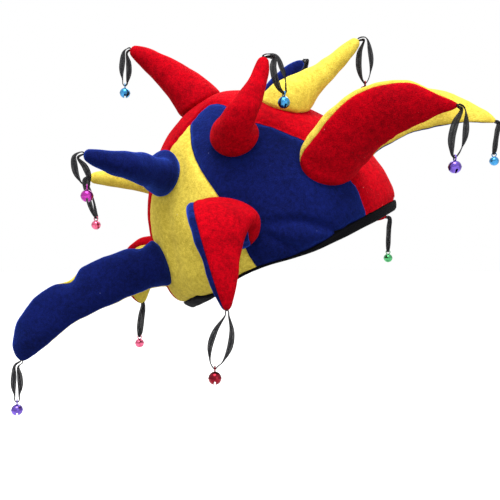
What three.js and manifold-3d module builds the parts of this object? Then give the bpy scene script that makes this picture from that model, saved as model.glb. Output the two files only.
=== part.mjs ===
// A plush clown hat: a crown of sewn panels, stuffed horns, and a ribbon loop with a bell at each horn's tip.
// Millimetres, +X to the wearer's front, +Y to their left, +Z up. The origin is the head opening's middle.
import * as THREE from "three";
import Module from "manifold-3d";

const wasm = await Module();
wasm.setup();

// Driving sizes of the crown. Lengths and widths are halves, and z leaves the head opening squarely.
const CROWN = {
  tilt: 26, // degrees by which the front of the rim is lifted
  height: 154,
  rim: { length: 95, width: 81, centre: 0 },
  belly: { length: 104, width: 88, centre: -3.3, height: 25, share: 0.88 },
  dome: { front: 1.6, side: 1.9, back: 2.0 }, // powers of the dome's round: 2 is an ellipse, less is a cone
  wall: 2.5,
  seam: 0.0045, // half the gap at a seam, as a share of the crown's half-width
};
const MERIDIAN = 208; // length from the top down to the rim, which the disc below counts as 1

// The red strip's half-width, as a share of the crown's, along its way from the front rim to the back rim.
const STRIP_WIDTHS = [
  { along: 0, half: 0.76 },
  { along: 0.06, half: 0.62 },
  { along: 0.14, half: 0.545 },
  { along: 0.215, half: 0.523 },
  { along: 0.29, half: 0.47 },
  { along: 0.325, half: 0.44 },
  { along: 0.38, half: 0.27 },
  { along: 0.41, half: 0.238 },
  { along: 0.5, half: 0.27 },
  { along: 0.6, half: 0.245 },
  { along: 0.75, half: 0.185 },
  { along: 1, half: 0.17 },
];
const STRIP_FRONT = 52; // degrees from the front where the strip's seam meets the rim
const STRIP_BACK = 10; // degrees from the back where it meets the rim again
const SIDE_SEAM = { along: 0.484, around: 107.5, sway: 0.027 }; // top, foot and curve of a side's seam
const CORNER = { along: 0.004, around: 0.7 }; // blunting of the panels' sharp corners

// How far the hem is drawn up to bare the binding, and how the rim arches over the ears, by degrees around.
const HEM = { least: 1.6, most: 7.5, frontFull: 50, frontNone: 98, backNone: 132, backFull: 150 };
const ARCH = { around: 112, span: 20, rise: 7.5 };
const BINDING = { thick: 1.2, flange: 9.5, gap: 0.8, steps: 90 };

const HUE = { red: 0xc8001a, blue: 0x17237f, yellow: 0xe8d445, black: 0x0d0d11 };
const PLUSH = { roughness: 0.95, metalness: 0 };

// One row a panel. side: +1 is the wearer's left.
const SIDE_PANELS = [
  { name: "crown_right_front_blue", hue: HUE.blue, side: -1, front: true },
  { name: "crown_right_back_yellow", hue: HUE.yellow, side: -1, front: false },
  { name: "crown_left_front_yellow", hue: HUE.yellow, side: 1, front: true },
  { name: "crown_left_back_blue", hue: HUE.blue, side: 1, front: false },
];
const PANEL_GRID = { along: 12, down: 12, across: 12 };

// One row a horn. seat: degrees round from the front and share of the way down. leave and arrive: handles of
// the centreline at the seat and at the tip. half: half-width at the seat. bulge: swelling at the seam.
// shoulder and point: powers of the taper. blunt: radius of the rounded tip. Flat horns also have flat, the
// half-thickness over the half-width, faces, the way that the outer face looks at the seat and at the tip, roll,
// degrees that the seam turns, and square, the power of the section's round.
const ROUND_HORNS = [
  { name: "top_back", hue: HUE.red, seat: [180, 0.06], leave: [-16, 1, 18], arrive: [22, -1, -12],
    tip: [-139.5, 5, 178.8], half: 19, bulge: 1, shoulder: 1.05, point: 0.6, blunt: 2.2 },
  { name: "top_right", hue: HUE.red, seat: [-90, 0.506], leave: [-3, -34, 10], arrive: [-5, -8, -36],
    tip: [-27.5, -80, 147], half: 15.5, bulge: 3.5, shoulder: 0.7, point: 0.45, blunt: 1.8 },
  { name: "top_left", hue: HUE.blue, seat: [78, 0.45], leave: [0, 26, 16], arrive: [-34, 2, -24],
    tip: [12.5, 60, 183.8], half: 15.5, bulge: 2.5, shoulder: 0.8, point: 0.4, blunt: 0.5 },
  { name: "top_front", hue: HUE.yellow, seat: [-38, 0.42], leave: [15, -4, 12], arrive: [-19, -1, -19],
    tip: [49.5, -30, 175.7], half: 17, bulge: 2.5, shoulder: 0.9, point: 0.78, blunt: 3.2 },
  { name: "back_right", hue: HUE.blue, seat: [-138.5, 0.508], leave: [-15.5, -28.5, 4], arrive: [26, 8, -8],
    tip: [-154, -98, 74.5], half: 14.6, bulge: 3.8, shoulder: 1.2, point: 0.61, blunt: 2.6 },
  { name: "back_left", hue: HUE.yellow, seat: [137.5, 0.5], leave: [-30, 12, 3], arrive: [30, -6, -1],
    tip: [-190, 70, 75.5], half: 12.5, bulge: 4.5, shoulder: 1.2, point: 0.55, blunt: 3.6 },
];
const FLAT_HORNS = [
  { name: "front_right", outer: HUE.red, inner: HUE.yellow, seat: [-57.4, 0.726], leave: [24, -23.5, 31.5],
    arrive: [-57, 12, 6], tip: [103, -115, 104.5], faces: [[0.1, -0.85, -0.4], [0, -0.97, -0.2]],
    half: 23.6, flat: 0.55, roll: -19, shoulder: 2.95, point: 0.705, blunt: 0.8 },
  { name: "front_left", outer: HUE.blue, inner: HUE.yellow, seat: [48, 0.7], leave: [36, 26, 62],
    arrive: [-60, 12, 29], tip: [197.3, 70, 130], faces: [[0, 0.95, -0.2], [0, 0.97, -0.2]],
    half: 30, flat: 0.42, roll: 0, shoulder: 2.3, point: 0.8, blunt: 1.5 },
  { name: "low_back_right", outer: HUE.blue, inner: HUE.yellow, seat: [-160, 0.798], leave: [-34, -12, -4],
    arrive: [5, 2, 38.5], tip: [-214, -50, -79], faces: [[0, -1, 0.12], [0, -1, 0.12]],
    half: 19, flat: 0.4, roll: 0, shoulder: 4.1, point: 0.525 },
  { name: "low_back_left", outer: HUE.red, inner: HUE.yellow, seat: [163, 0.8], leave: [-30, 24, 32],
    arrive: [-8, -8, 30], tip: [-144.6, 100, -46.3], faces: [[-0.2, 0.8, 0.55], [-0.5, 0.8, 0.2]],
    half: 17.5, flat: 0.4, roll: 32, shoulder: 4, point: 0.5 },
  { name: "ear_right", outer: HUE.red, inner: HUE.blue, seat: [-108.7, 0.775], leave: [-10, -33, 18],
    arrive: [-6, -2, 50], tip: [-52.6, -125, -33.5], faces: [[0, -0.43, 0.95], [0.5, -0.95, 0.1]],
    half: 25.2, flat: 0.35, roundSeat: 0.67, flatFrom: 0.25, roll: 38, square: 2.3, shoulder: 2, point: 0.83,
    blunt: 2.2 },
  { name: "ear_left", outer: HUE.blue, inner: HUE.red, seat: [86, 0.79], leave: [16, 34, 5],
    arrive: [-44, -2, 7], tip: [102, 115, 41], faces: [[0, 0.5, 0.85], [0, 0.95, 0.3]],
    half: 21, flat: 0.4, roll: 0, shoulder: 2.5, point: 0.75, blunt: 1.5 },
];
const HORN = {
  stations: 11,
  last: 0.985, // share of the length of one more station, on the rounded tip
  sides: 14,
  spacing: 1.25, // power that crowds the stations towards the tip
  sunk: 18, // depth of the first station under the seat, before the crown trims it
  bulgeSpan: 0.16,
  roundSeat: 0.75, // a flat horn's half-thickness over its half-width at the seat, unless its row says
  flatFrom: 0.4, // share of the length where a flat horn has its full flatness, unless its row says
  cutGap: 0.6,
  faceGap: 0.3,
};
const TRIM = { levels: 25, sides: 60 }; // facets of the body that trims the seats

// One row a ribbon loop, by its horn: where it bends over, from the tip, the bell's centre, the loop's width,
// the heading of its plane, and the twist of its strands in degrees.
const RIBBONS = {
  top_back: { over: [-4.5, 0, -2], bell: [-144.6, 5, 141.4], spread: 6, plane: 10, twist: 70 },
  top_right: { over: [8, -1, 0.5], bell: [-12.9, -84, 113.4], spread: 8, plane: 20, twist: 70 },
  top_left: { over: [4, 6.5, 3], bell: [6, 74, 139], spread: 8, plane: 60, twist: 40 },
  top_front: { over: [5.5, 0, 1], bell: [55.5, -28, 135.2], spread: 10, plane: 0, twist: 60 },
  back_right: { over: [-5, -1, -2.5], bell: [-151.7, -98, 44.7], spread: 8, plane: 15, twist: 60 },
  back_left: { over: [-5, 1, -1.5], bell: [-184.6, 70, 30.7], spread: 8, plane: 70, twist: 40 },
  front_right: { over: [3.2, -1, -2.5], bell: [100, -118, 62.5], spread: 9, plane: 5, twist: 75 },
  front_left: { over: [3, 0, -2], bell: [196, 70, 91.9], spread: 8, plane: 60, twist: 50 },
  low_back_right: { over: [-4, 0, -4], bell: [-217.7, -50, -117], spread: 5, plane: 20, twist: 55 },
  low_back_left: { over: [0, 1, -3], bell: [-148, 100, -86.4], spread: 8, plane: 75, twist: 40 },
  ear_right: { over: [0, -1, -3], bell: [-60.5, -126, -77.7], spread: 13, plane: 0, twist: 50 },
  ear_left: { over: [3.5, 0.5, -1.5], bell: [104, 115, -1.4], spread: 8, plane: 70, twist: 40 },
};
const BELL_HUES = {
  top_back: 0x3f78a8,
  top_right: 0x2f86c8,
  top_left: 0x3f9a5a,
  top_front: 0xc02838,
  back_right: 0xb0309a,
  back_left: 0xd8607f,
  front_right: 0x6a48b8,
  front_left: 0x5a9fc8,
  low_back_right: 0x6a48b8,
  low_back_left: 0xd8407f,
  ear_right: 0xb82838,
  ear_left: 0x3f9a5a,
};
const RIBBON = {
  width: 5,
  thick: 1,
  tipWidth: 2.6,
  ringWidth: 1.7,
  start: 0.6, // gap between the horn's tip and the ribbon
  apart: 1.8, // between the strands at the tip
  bendApart: 1.3, // the same at the bend, as a share of it
  steps: 24,
  crowd: 1.5, // power that crowds the steps towards the ring
};
// The loop's half-width over its spread, at shares of the way down from the bend to the ring.
const LOOP = [
  { share: 0.3, out: 0.42 },
  { share: 0.6, out: 0.5 },
  { share: 0.85, out: 0.34 },
];
const RING_PASS = { aside: 1.7, above: 1.6 }; // where each strand enters the bell's ring, from its middle
const BELL = {
  radius: 4.5,
  wall: 0.5,
  sides: 9,
  outerSteps: 6,
  innerSteps: 4,
  ring: 2,
  ringWire: 0.5,
  ringSteps: 9,
  wireSides: 4,
  slot: 1,
  slotTop: -0.8,
};
const TAPE = { roughness: 0.7, metalness: 0 };
const ORGANZA = { roughness: 0.5, metalness: 0 };
const METAL = { roughness: 0.25, metalness: 1 };

const RADIAN = Math.PI / 180;
const { clamp, lerp, smoothstep } = THREE.MathUtils;
const TILT = new THREE.Matrix4().makeRotationY(-CROWN.tilt * RADIAN);
const UP = new THREE.Vector3(0, 0, 1);
const vector = ([x, y, z]) => new THREE.Vector3(x, y, z);
const point = (p, q) => new THREE.Vector2(p, q);

// The strip's half-width at a share of its length: a smooth curve through the table's rows, with no overshoot.
function stripWidth(along) {
  const last = STRIP_WIDTHS.length - 1;
  const slope = (i) =>
    (STRIP_WIDTHS[i + 1].half - STRIP_WIDTHS[i].half) / (STRIP_WIDTHS[i + 1].along - STRIP_WIDTHS[i].along);
  const tangent = (i) => {
    if (i === 0 || i === last) return slope(i === 0 ? 0 : last - 1);
    const before = slope(i - 1);
    const after = slope(i);
    return before * after > 0 ? (2 * before * after) / (before + after) : 0;
  };
  let i = 0;
  while (i < last - 1 && along > STRIP_WIDTHS[i + 1].along) i++;
  const span = STRIP_WIDTHS[i + 1].along - STRIP_WIDTHS[i].along;
  const t = (along - STRIP_WIDTHS[i].along) / span;
  const u = 1 - t;
  return (
    u * u * (1 + 2 * t) * STRIP_WIDTHS[i].half +
    t * t * (1 + 2 * u) * STRIP_WIDTHS[i + 1].half +
    span * t * u * (u * tangent(i) - t * tangent(i + 1))
  );
}

// The crown's outer surface over a disc: the middle is the top, p runs forward, q left, and 1 is the rim.
function smoothCrown(p, q) {
  const { rim, belly, dome } = CROWN;
  const down = Math.hypot(p, q);
  const around = Math.atan2(q, p);
  const forward = Math.cos(around);
  const sideways = Math.sin(around);
  if (down > belly.share) {
    const drop = (down - belly.share) / (1 - belly.share);
    const pull = drop * drop;
    return new THREE.Vector3(
      lerp(belly.centre, rim.centre, pull) + lerp(belly.length, rim.length, pull) * forward,
      lerp(belly.width, rim.width, pull) * sideways,
      belly.height * (1 - drop),
    );
  }
  const power = lerp(dome.side, forward > 0 ? dome.front : dome.back, forward * forward);
  const turn = ((down / belly.share) * Math.PI) / 2;
  const reach = Math.sin(turn) ** (2 / power);
  return new THREE.Vector3(
    belly.centre + belly.length * reach * forward,
    belly.width * reach * sideways,
    belly.height + (CROWN.height - belly.height) * Math.cos(turn) ** (2 / power),
  );
}

// The outward normal of the smooth crown, from small steps either way.
function crownNormal(p, q) {
  const step = 1e-3;
  const alongP = smoothCrown(p + step, q).sub(smoothCrown(p - step, q));
  const alongQ = smoothCrown(p, q + step).sub(smoothCrown(p, q - step));
  return alongP.cross(alongQ).normalize();
}

// A point of the crown, lifted off its outer surface by so many millimetres.
function crownPoint({ x: p, y: q }, lift = 0) {
  return smoothCrown(p, q).addScaledVector(crownNormal(p, q), lift);
}

// The share of the way down at which the rim lies, at degrees from the front.
function rimLevel(around) {
  const off = (Math.abs(around) - ARCH.around) / ARCH.span;
  return 1 - (ARCH.rise * Math.exp(-off * off)) / MERIDIAN;
}

// The hem of the panels, at degrees from the front.
function hem(around) {
  const angle = Math.abs(around);
  const front = 1 - smoothstep(angle, HEM.frontFull, HEM.frontNone);
  const back = smoothstep(angle, HEM.backNone, HEM.backFull);
  const rise = lerp(HEM.least, HEM.most, Math.max(front, back));
  const down = rimLevel(around) - rise / MERIDIAN;
  return point(down * Math.cos(around * RADIAN), down * Math.sin(around * RADIAN));
}

// A point of the strip: across runs from -1 at its right seam to 1 at its left seam.
function stripPoint(along, across) {
  const front = hem(across * STRIP_FRONT);
  const back = hem(180 - across * STRIP_BACK);
  const spread = lerp(front.y / hem(STRIP_FRONT).y, back.y / hem(180 - STRIP_BACK).y, along);
  return point(lerp(front.x, back.x, along), stripWidth(along) * spread);
}

// The share of the strip's length at a share of a front or back panel's length.
const panelAlong = (front, along) =>
  front ? lerp(0, SIDE_SEAM.along, along) : lerp(SIDE_SEAM.along, 1, along);

// A point of a side panel: along runs from front to back, and down from the strip's seam to the hem.
function sidePoint({ side, front }, along, down) {
  const gap = CROWN.seam / 2;
  const ends = front
    ? [CORNER.along, SIDE_SEAM.along - gap]
    : [SIDE_SEAM.along + gap, 1 - CORNER.along];
  const feet = front
    ? [STRIP_FRONT + CORNER.around, SIDE_SEAM.around - gap / RADIAN]
    : [SIDE_SEAM.around + gap / RADIAN, 180 - STRIP_BACK - CORNER.around];
  const top = stripPoint(clamp(panelAlong(front, along), ...ends), side);
  top.y += side * CROWN.seam;
  const place = top.lerp(hem(side * lerp(...feet, along)), down);
  place.x -= SIDE_SEAM.sway * Math.sin(2 * Math.PI * down) * (front ? along : 1 - along);
  return place;
}

// A closed geometry from points and faces, turned so that its faces look outwards.
function closedGeometry(points, faces) {
  const volume = faces.reduce((sum, [a, b, c]) => sum + points[a].dot(points[b].clone().cross(points[c])), 0);
  const turned = volume < 0 ? faces.map(([a, b, c]) => [a, c, b]) : faces;
  const geometry = new THREE.BufferGeometry().setFromPoints(points).setIndex(turned.flat());
  geometry.computeVertexNormals();
  return geometry;
}

// The two triangles of a four-sided face.
const twoTriangles = (a, b, c, d) => [[a, b, c], [a, c, d]];

// A wall over part of the disc: place(i, j) gives a grid's points, and the wall lies under the outer surface.
function wallGeometry(place, columns, rows) {
  const points = [];
  for (const lift of [0, -CROWN.wall])
    for (let i = 0; i <= columns; i++)
      for (let j = 0; j <= rows; j++) points.push(crownPoint(place(i / columns, j / rows), lift));
  const sheet = points.length / 2;
  const at = (i, j, layer) => layer * sheet + i * (rows + 1) + j;
  const faces = [];
  for (let i = 0; i < columns; i++)
    for (let j = 0; j < rows; j++) {
      faces.push(...twoTriangles(at(i, j, 0), at(i + 1, j, 0), at(i + 1, j + 1, 0), at(i, j + 1, 0)));
      faces.push(...twoTriangles(at(i, j, 1), at(i, j + 1, 1), at(i + 1, j + 1, 1), at(i + 1, j, 1)));
    }
  for (let i = 0; i < columns; i++) {
    faces.push(...twoTriangles(at(i, 0, 1), at(i + 1, 0, 1), at(i + 1, 0, 0), at(i, 0, 0)));
    faces.push(...twoTriangles(at(i, rows, 0), at(i + 1, rows, 0), at(i + 1, rows, 1), at(i, rows, 1)));
  }
  for (let j = 0; j < rows; j++) {
    const end = columns;
    faces.push(...twoTriangles(at(0, j, 0), at(0, j + 1, 0), at(0, j + 1, 1), at(0, j, 1)));
    faces.push(...twoTriangles(at(end, j, 1), at(end, j + 1, 1), at(end, j + 1, 0), at(end, j, 0)));
  }
  return closedGeometry(points, faces);
}

// A skin over rings of points. Each end is a flat cap, or the point given. A round of rings has no end.
function loftGeometry(rings, { pole = null, round = false } = {}) {
  const sides = rings[0].length;
  const points = rings.flat();
  const faces = [];
  const joins = round ? rings.length : rings.length - 1;
  for (let i = 0; i < joins; i++)
    for (let k = 0; k < sides; k++) {
      const here = i * sides;
      const next = ((i + 1) % rings.length) * sides;
      const after = (k + 1) % sides;
      faces.push(...twoTriangles(here + k, here + after, next + after, next + k));
    }
  if (!round) {
    const last = (rings.length - 1) * sides;
    for (let k = 1; k < sides - 1; k++) faces.push([0, k + 1, k]);
    if (pole) {
      points.push(pole);
      for (let k = 0; k < sides; k++) faces.push([last + k, last + ((k + 1) % sides), points.length - 1]);
    } else for (let k = 1; k < sides - 1; k++) faces.push([last, last + k, last + k + 1]);
  }
  return closedGeometry(points, faces);
}

// A geometry as a solid for cuts and joins, and a solid back as a geometry.
function solidOf(geometry) {
  const vertProperties = new Float32Array(geometry.getAttribute("position").array);
  const triVerts = new Uint32Array(geometry.index.array);
  return new wasm.Manifold(new wasm.Mesh({ numProp: 3, vertProperties, triVerts }));
}
function geometryOf(solid) {
  const mesh = solid.getMesh();
  const geometry = new THREE.BufferGeometry();
  geometry.setAttribute("position", new THREE.BufferAttribute(mesh.vertProperties, 3));
  geometry.setIndex(new THREE.BufferAttribute(mesh.triVerts, 1));
  geometry.computeVertexNormals();
  return geometry;
}

// The crown as a full body, a little larger than the sewn one, that trims the horns' seats.
function crownBody() {
  const rings = [];
  for (let i = TRIM.levels; i >= 1; i--) {
    const down = i / TRIM.levels;
    const ring = Array.from({ length: TRIM.sides }, (_, k) => {
      const around = (2 * Math.PI * k) / TRIM.sides;
      const place = point(down * Math.cos(around), down * Math.sin(around));
      return crownPoint(place, HORN.cutGap).applyMatrix4(TILT);
    });
    rings.push(ring);
  }
  const top = crownPoint(point(0, 0), HORN.cutGap).applyMatrix4(TILT);
  return solidOf(loftGeometry(rings, { pole: top }));
}

// A horn's centreline, from its seat on the crown to its tip.
function hornCurve(horn) {
  const [around, down] = horn.seat;
  const place = point(down * Math.cos(around * RADIAN), down * Math.sin(around * RADIAN));
  const seat = crownPoint(place).applyMatrix4(TILT);
  const tip = vector(horn.tip);
  return new THREE.CubicBezierCurve3(
    seat,
    seat.clone().add(vector(horn.leave)),
    tip.clone().add(vector(horn.arrive)),
    tip,
  );
}

// A horn's half-width along its length: its taper, the swelling at its seat, and a ball that rounds its tip.
function hornHalf(horn, t, length) {
  const swelling = (horn.bulge ?? 0) * Math.exp(-((t / HORN.bulgeSpan) ** 2));
  const blunt = horn.blunt ?? 0;
  const inside = Math.max(blunt - (1 - t) * length, 0);
  const ball = t ** 3 * Math.sqrt(blunt ** 2 - inside ** 2);
  return horn.half * (1 - t ** horn.shoulder) ** horn.point + swelling * (1 - t) + ball;
}

// The stations of a horn: sunk into the crown first, then closer together towards the tip.
function hornStations(horn, curve) {
  const stations = [{ t: 0, sunk: HORN.sunk }];
  for (let i = 0; i < HORN.stations; i++) {
    const share = i / HORN.stations;
    stations.push({ t: 1 - (1 - share) ** HORN.spacing, sunk: 0 });
  }
  stations.push({ t: HORN.last, sunk: 0 });
  const length = curve.getLength();
  return stations.map(({ t, sunk }) => {
    const along = curve.getTangent(t);
    const centre = curve.getPoint(t).addScaledVector(along, -sunk);
    const [seatFace, tipFace] = (horn.faces ?? [[0, -1, 0], [0, -1, 0]]).map(vector);
    const look = seatFace.lerp(tipFace, smoothstep(t, 0, 1));
    const out = look.addScaledVector(along, -look.dot(along)).normalize();
    const across = new THREE.Vector3().crossVectors(along, out);
    return { t, centre, out, across, half: hornHalf(horn, t, length) };
  });
}

// A round stuffed horn of one colour.
function roundHorn(horn, body) {
  const curve = hornCurve(horn);
  const rings = hornStations(horn, curve).map(({ centre, out, across, half }) =>
    Array.from({ length: HORN.sides }, (_, k) => {
      const angle = (2 * Math.PI * k) / HORN.sides;
      return centre
        .clone()
        .addScaledVector(out, half * Math.sin(angle))
        .addScaledVector(across, half * Math.cos(angle));
    }),
  );
  return geometryOf(solidOf(loftGeometry(rings, { pole: curve.getPoint(1) })).subtract(body));
}

// One face of a flat stuffed horn: half of an oval section that is rounder at the seat, split along the seam.
function flatHornFace(horn, body, side) {
  const curve = hornCurve(horn);
  const arc = HORN.sides / 2 + 1;
  const start = horn.roll * RADIAN;
  const stations = hornStations(horn, curve);
  const rings = stations.map(({ t, centre, out, across, half }) => {
    const flatten = smoothstep(t, 0, horn.flatFrom ?? HORN.flatFrom);
    const thick = half * lerp(horn.roundSeat ?? HORN.roundSeat, horn.flat, flatten);
    const round = (value) => Math.sign(value) * Math.abs(value) ** (2 / (horn.square ?? 2));
    const spot = (angle) => ({ x: half * round(Math.cos(angle)), y: thick * round(Math.sin(angle)) });
    const seam = spot(start);
    const off = (side * HORN.faceGap) / 2 / Math.hypot(seam.x, seam.y);
    return Array.from({ length: arc + 1 }, (_, k) => {
      const { x, y } = spot(start + (side * Math.PI * k) / arc);
      return centre
        .clone()
        .addScaledVector(across, x - off * seam.y)
        .addScaledVector(out, y + off * seam.x);
    });
  });
  const pole = curve.getPoint(1).addScaledVector(stations.at(-1).out, (side * HORN.faceGap) / 2);
  return geometryOf(solidOf(loftGeometry(rings, { pole })).subtract(body));
}

// The way from one strand to the other where they head in one direction: a quarter turn in the loop's plane.
function strandsApart(heading, aside, apart) {
  const turned = aside.clone().multiplyScalar(-heading.z).addScaledVector(UP, heading.dot(aside));
  return turned.setLength(apart / 2);
}

// The route of a ribbon loop: from the horn's tip down one side, through the bell's ring, and up the other.
function ribbonCurve(horn, ribbon) {
  const curve = hornCurve(horn);
  const away = curve.getTangent(1);
  const ring = vector(ribbon.bell).addScaledVector(UP, BELL.radius + BELL.ring - BELL.ringWire);
  const aside = new THREE.Vector3(Math.cos(ribbon.plane * RADIAN), Math.sin(ribbon.plane * RADIAN), 0);
  const over = vector(ribbon.over);
  const bent = curve.getPoint(1).add(over);
  const bend = over.clone().normalize().add(ring.clone().sub(bent).normalize()).normalize();
  const topApart = strandsApart(over.clone().normalize(), aside, RIBBON.apart);
  const bentApart = strandsApart(bend, aside, RIBBON.apart * RIBBON.bendApart);
  const clear = RIBBON.start + Math.abs(topApart.dot(away));
  const top = curve.getPoint(1).addScaledVector(away, clear);
  const strand = (side) => {
    const hanging = LOOP.map(({ share, out }) =>
      bent.clone().lerp(ring, share).addScaledVector(aside, side * out * ribbon.spread),
    );
    const pass = ring.clone().addScaledVector(UP, RING_PASS.above);
    return [
      top.clone().addScaledVector(topApart, side),
      bent.clone().addScaledVector(bentApart, side),
      ...hanging,
      pass.addScaledVector(aside, side * RING_PASS.aside),
    ];
  };
  return new THREE.CatmullRomCurve3([...strand(1), ring, ...strand(-1).reverse()], false, "centripetal");
}

// A ribbon loop: a flat band that narrows at the tip and at the ring, and whose strands twist to and fro.
function ribbonGeometry(horn, ribbon) {
  const curve = ribbonCurve(horn, ribbon);
  const flat = new THREE.Vector3(-Math.sin(ribbon.plane * RADIAN), Math.cos(ribbon.plane * RADIAN), 0);
  const rings = [];
  for (let i = 0; i <= RIBBON.steps; i++) {
    const way = (2 * i) / RIBBON.steps - 1;
    const strand = Math.abs(way) ** RIBBON.crowd; // 1 at the tip, 0 at the ring
    const share = (1 + Math.sign(way) * strand) / 2;
    const along = curve.getTangentAt(share);
    const open = Math.sin(Math.PI * strand) ** 0.7;
    const half = lerp(lerp(RIBBON.ringWidth, RIBBON.tipWidth, strand), RIBBON.width, open) / 2;
    const wide = flat.clone().addScaledVector(along, -flat.dot(along)).normalize();
    wide.applyAxisAngle(along, ribbon.twist * RADIAN * Math.sin(Math.PI * strand) ** 2);
    const thin = new THREE.Vector3().crossVectors(along, wide);
    const centre = curve.getPointAt(share);
    const corner = (x, y) =>
      centre
        .clone()
        .addScaledVector(wide, x * half)
        .addScaledVector(thin, (y * RIBBON.thick) / 2);
    rings.push([corner(-1, -1), corner(1, -1), corner(1, 1), corner(-1, 1)]);
  }
  return loftGeometry(rings);
}

// A jingle bell: a thin hollow ball with a sound slot below and a wire ring on top, in one piece of metal.
function bellGeometry() {
  const { radius, wall, sides, ring, ringWire, slot, slotTop } = BELL;
  const arc = (r, steps) =>
    Array.from({ length: steps + 1 }, (_, k) => {
      const angle = (Math.PI * k) / steps;
      return new THREE.Vector2(r * Math.sin(angle), -r * Math.cos(angle));
    });
  const welded = (geometry) => {
    const places = new Map();
    const points = [];
    const source = geometry.getAttribute("position");
    const index = Array.from({ length: source.count }, (_, i) => {
      const place = new THREE.Vector3().fromBufferAttribute(source, i);
      const key = place.toArray().map((v) => Math.round(v * 1e4)).join();
      if (!places.has(key)) places.set(key, points.push(place) - 1);
      return places.get(key);
    });
    const faces = [];
    const corners = geometry.index.array;
    for (let i = 0; i < corners.length; i += 3) {
      const face = [index[corners[i]], index[corners[i + 1]], index[corners[i + 2]]];
      if (new Set(face).size === 3) faces.push(face);
    }
    return solidOf(closedGeometry(points, faces));
  };
  const round = (profile) => welded(new THREE.LatheGeometry(profile, sides).rotateX(Math.PI / 2));
  const ball = round(arc(radius, BELL.outerSteps));
  const hollow = round(arc(radius - wall, BELL.innerSteps));
  const tall = 2 * radius;
  const slotBox = new THREE.BoxGeometry(slot, tall, tall).translate(0, 0, slotTop - tall / 2);
  const wire = new THREE.TorusGeometry(ring, ringWire, BELL.wireSides, BELL.ringSteps).rotateY(Math.PI / 2);
  wire.translate(0, 0, radius + ring - ringWire);
  return geometryOf(ball.add(welded(wire)).subtract(hollow).subtract(welded(slotBox)));
}

const hat = new THREE.Group();
const addMesh = (parent, name, geometry, color, surface = PLUSH) => {
  const mesh = new THREE.Mesh(geometry, new THREE.MeshStandardMaterial({ color, ...surface }));
  mesh.name = name;
  parent.add(mesh);
  return mesh;
};

// The crown's panels and the binding inside its rim, in the tilted frame
const crown = new THREE.Group();
crown.rotation.y = -CROWN.tilt * RADIAN;
hat.add(crown);
const strip = (share, across) => {
  const along = share < 0.5 ? panelAlong(true, 2 * share) : panelAlong(false, 2 * share - 1);
  return stripPoint(along, 2 * across - 1);
};
addMesh(crown, "crown_strip_red", wallGeometry(strip, 2 * PANEL_GRID.along, PANEL_GRID.across), HUE.red);
for (const panel of SIDE_PANELS) {
  const place = (along, down) => sidePoint(panel, along, down);
  addMesh(crown, panel.name, wallGeometry(place, PANEL_GRID.along, PANEL_GRID.down), panel.hue);
}
const bindingRings = [];
for (let k = 0; k < BINDING.steps; k++) {
  const around = (360 * k) / BINDING.steps - 180;
  const edge = hem(around);
  const ray = edge.clone().normalize();
  const inside = -CROWN.wall - BINDING.gap;
  const level = (down, lift) => crownPoint(ray.clone().multiplyScalar(down), lift);
  const rim = rimLevel(around);
  const flange = rim - BINDING.flange / MERIDIAN;
  const lip = edge.length() + BINDING.gap / MERIDIAN;
  bindingRings.push([
    level(flange, inside - BINDING.thick),
    level(flange, inside),
    level(lip, inside),
    level(lip, 0),
    level(rim, 0),
    level(rim, inside - BINDING.thick),
  ]);
}
addMesh(crown, "rim_binding", loftGeometry(bindingRings, { round: true }), HUE.black, TAPE);

// The horns, each with its ribbon loop and its bell
const body = crownBody();
for (const horn of ROUND_HORNS) addMesh(hat, `horn_${horn.name}`, roundHorn(horn, body), horn.hue);
for (const horn of FLAT_HORNS) {
  addMesh(hat, `horn_${horn.name}_outer`, flatHornFace(horn, body, 1), horn.outer);
  addMesh(hat, `horn_${horn.name}_inner`, flatHornFace(horn, body, -1), horn.inner);
}
const bell = bellGeometry();
for (const horn of [...ROUND_HORNS, ...FLAT_HORNS]) {
  const ribbon = RIBBONS[horn.name];
  addMesh(hat, `ribbon_${horn.name}`, ribbonGeometry(horn, ribbon), HUE.black, ORGANZA);
  const hung = addMesh(hat, `bell_${horn.name}`, bell, BELL_HUES[horn.name], METAL);
  hung.position.set(...ribbon.bell);
  hung.rotation.z = ribbon.plane * RADIAN;
}

export default hat;
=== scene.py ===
"""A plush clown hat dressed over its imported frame: sewn panels, stuffed horns, ribbon loops and bells."""
import logging
import math
from dataclasses import dataclass
from enum import Enum
from typing import Any

import bpy
import numpy as np
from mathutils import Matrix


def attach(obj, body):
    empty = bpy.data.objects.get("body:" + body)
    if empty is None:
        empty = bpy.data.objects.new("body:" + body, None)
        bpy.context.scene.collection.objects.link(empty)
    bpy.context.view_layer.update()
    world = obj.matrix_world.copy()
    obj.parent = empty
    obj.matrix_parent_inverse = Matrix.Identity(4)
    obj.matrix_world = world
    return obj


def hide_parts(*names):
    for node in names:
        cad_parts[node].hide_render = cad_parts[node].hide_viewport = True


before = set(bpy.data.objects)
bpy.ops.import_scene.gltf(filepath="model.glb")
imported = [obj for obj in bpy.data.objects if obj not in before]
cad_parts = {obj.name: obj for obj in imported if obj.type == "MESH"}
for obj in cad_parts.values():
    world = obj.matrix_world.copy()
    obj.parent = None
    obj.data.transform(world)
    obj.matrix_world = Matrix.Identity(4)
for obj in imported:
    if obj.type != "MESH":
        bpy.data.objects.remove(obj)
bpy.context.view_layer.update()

BODY = "root"
TAPE_SLOT = "binding_tape"
RIBBON_SLOT = "ribbon_organza"
MM = 0.001
TURN = 2 * math.pi
UP = np.array([0.0, 0.0, 1.0])
# The shortest and longest of a ripple's waves, over its middle length
WAVE_SPREAD = (0.7, 1.5)
Vector3 = tuple[float, float, float]
Colour = tuple[float, float, float, float]
log = logging.getLogger("clown_hat")


class Hue(Enum):
    """The colours of plush that the hat is cut from, by the record's material slot."""

    RED = "plush_red"
    BLUE = "plush_blue"
    YELLOW = "plush_yellow"


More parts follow.
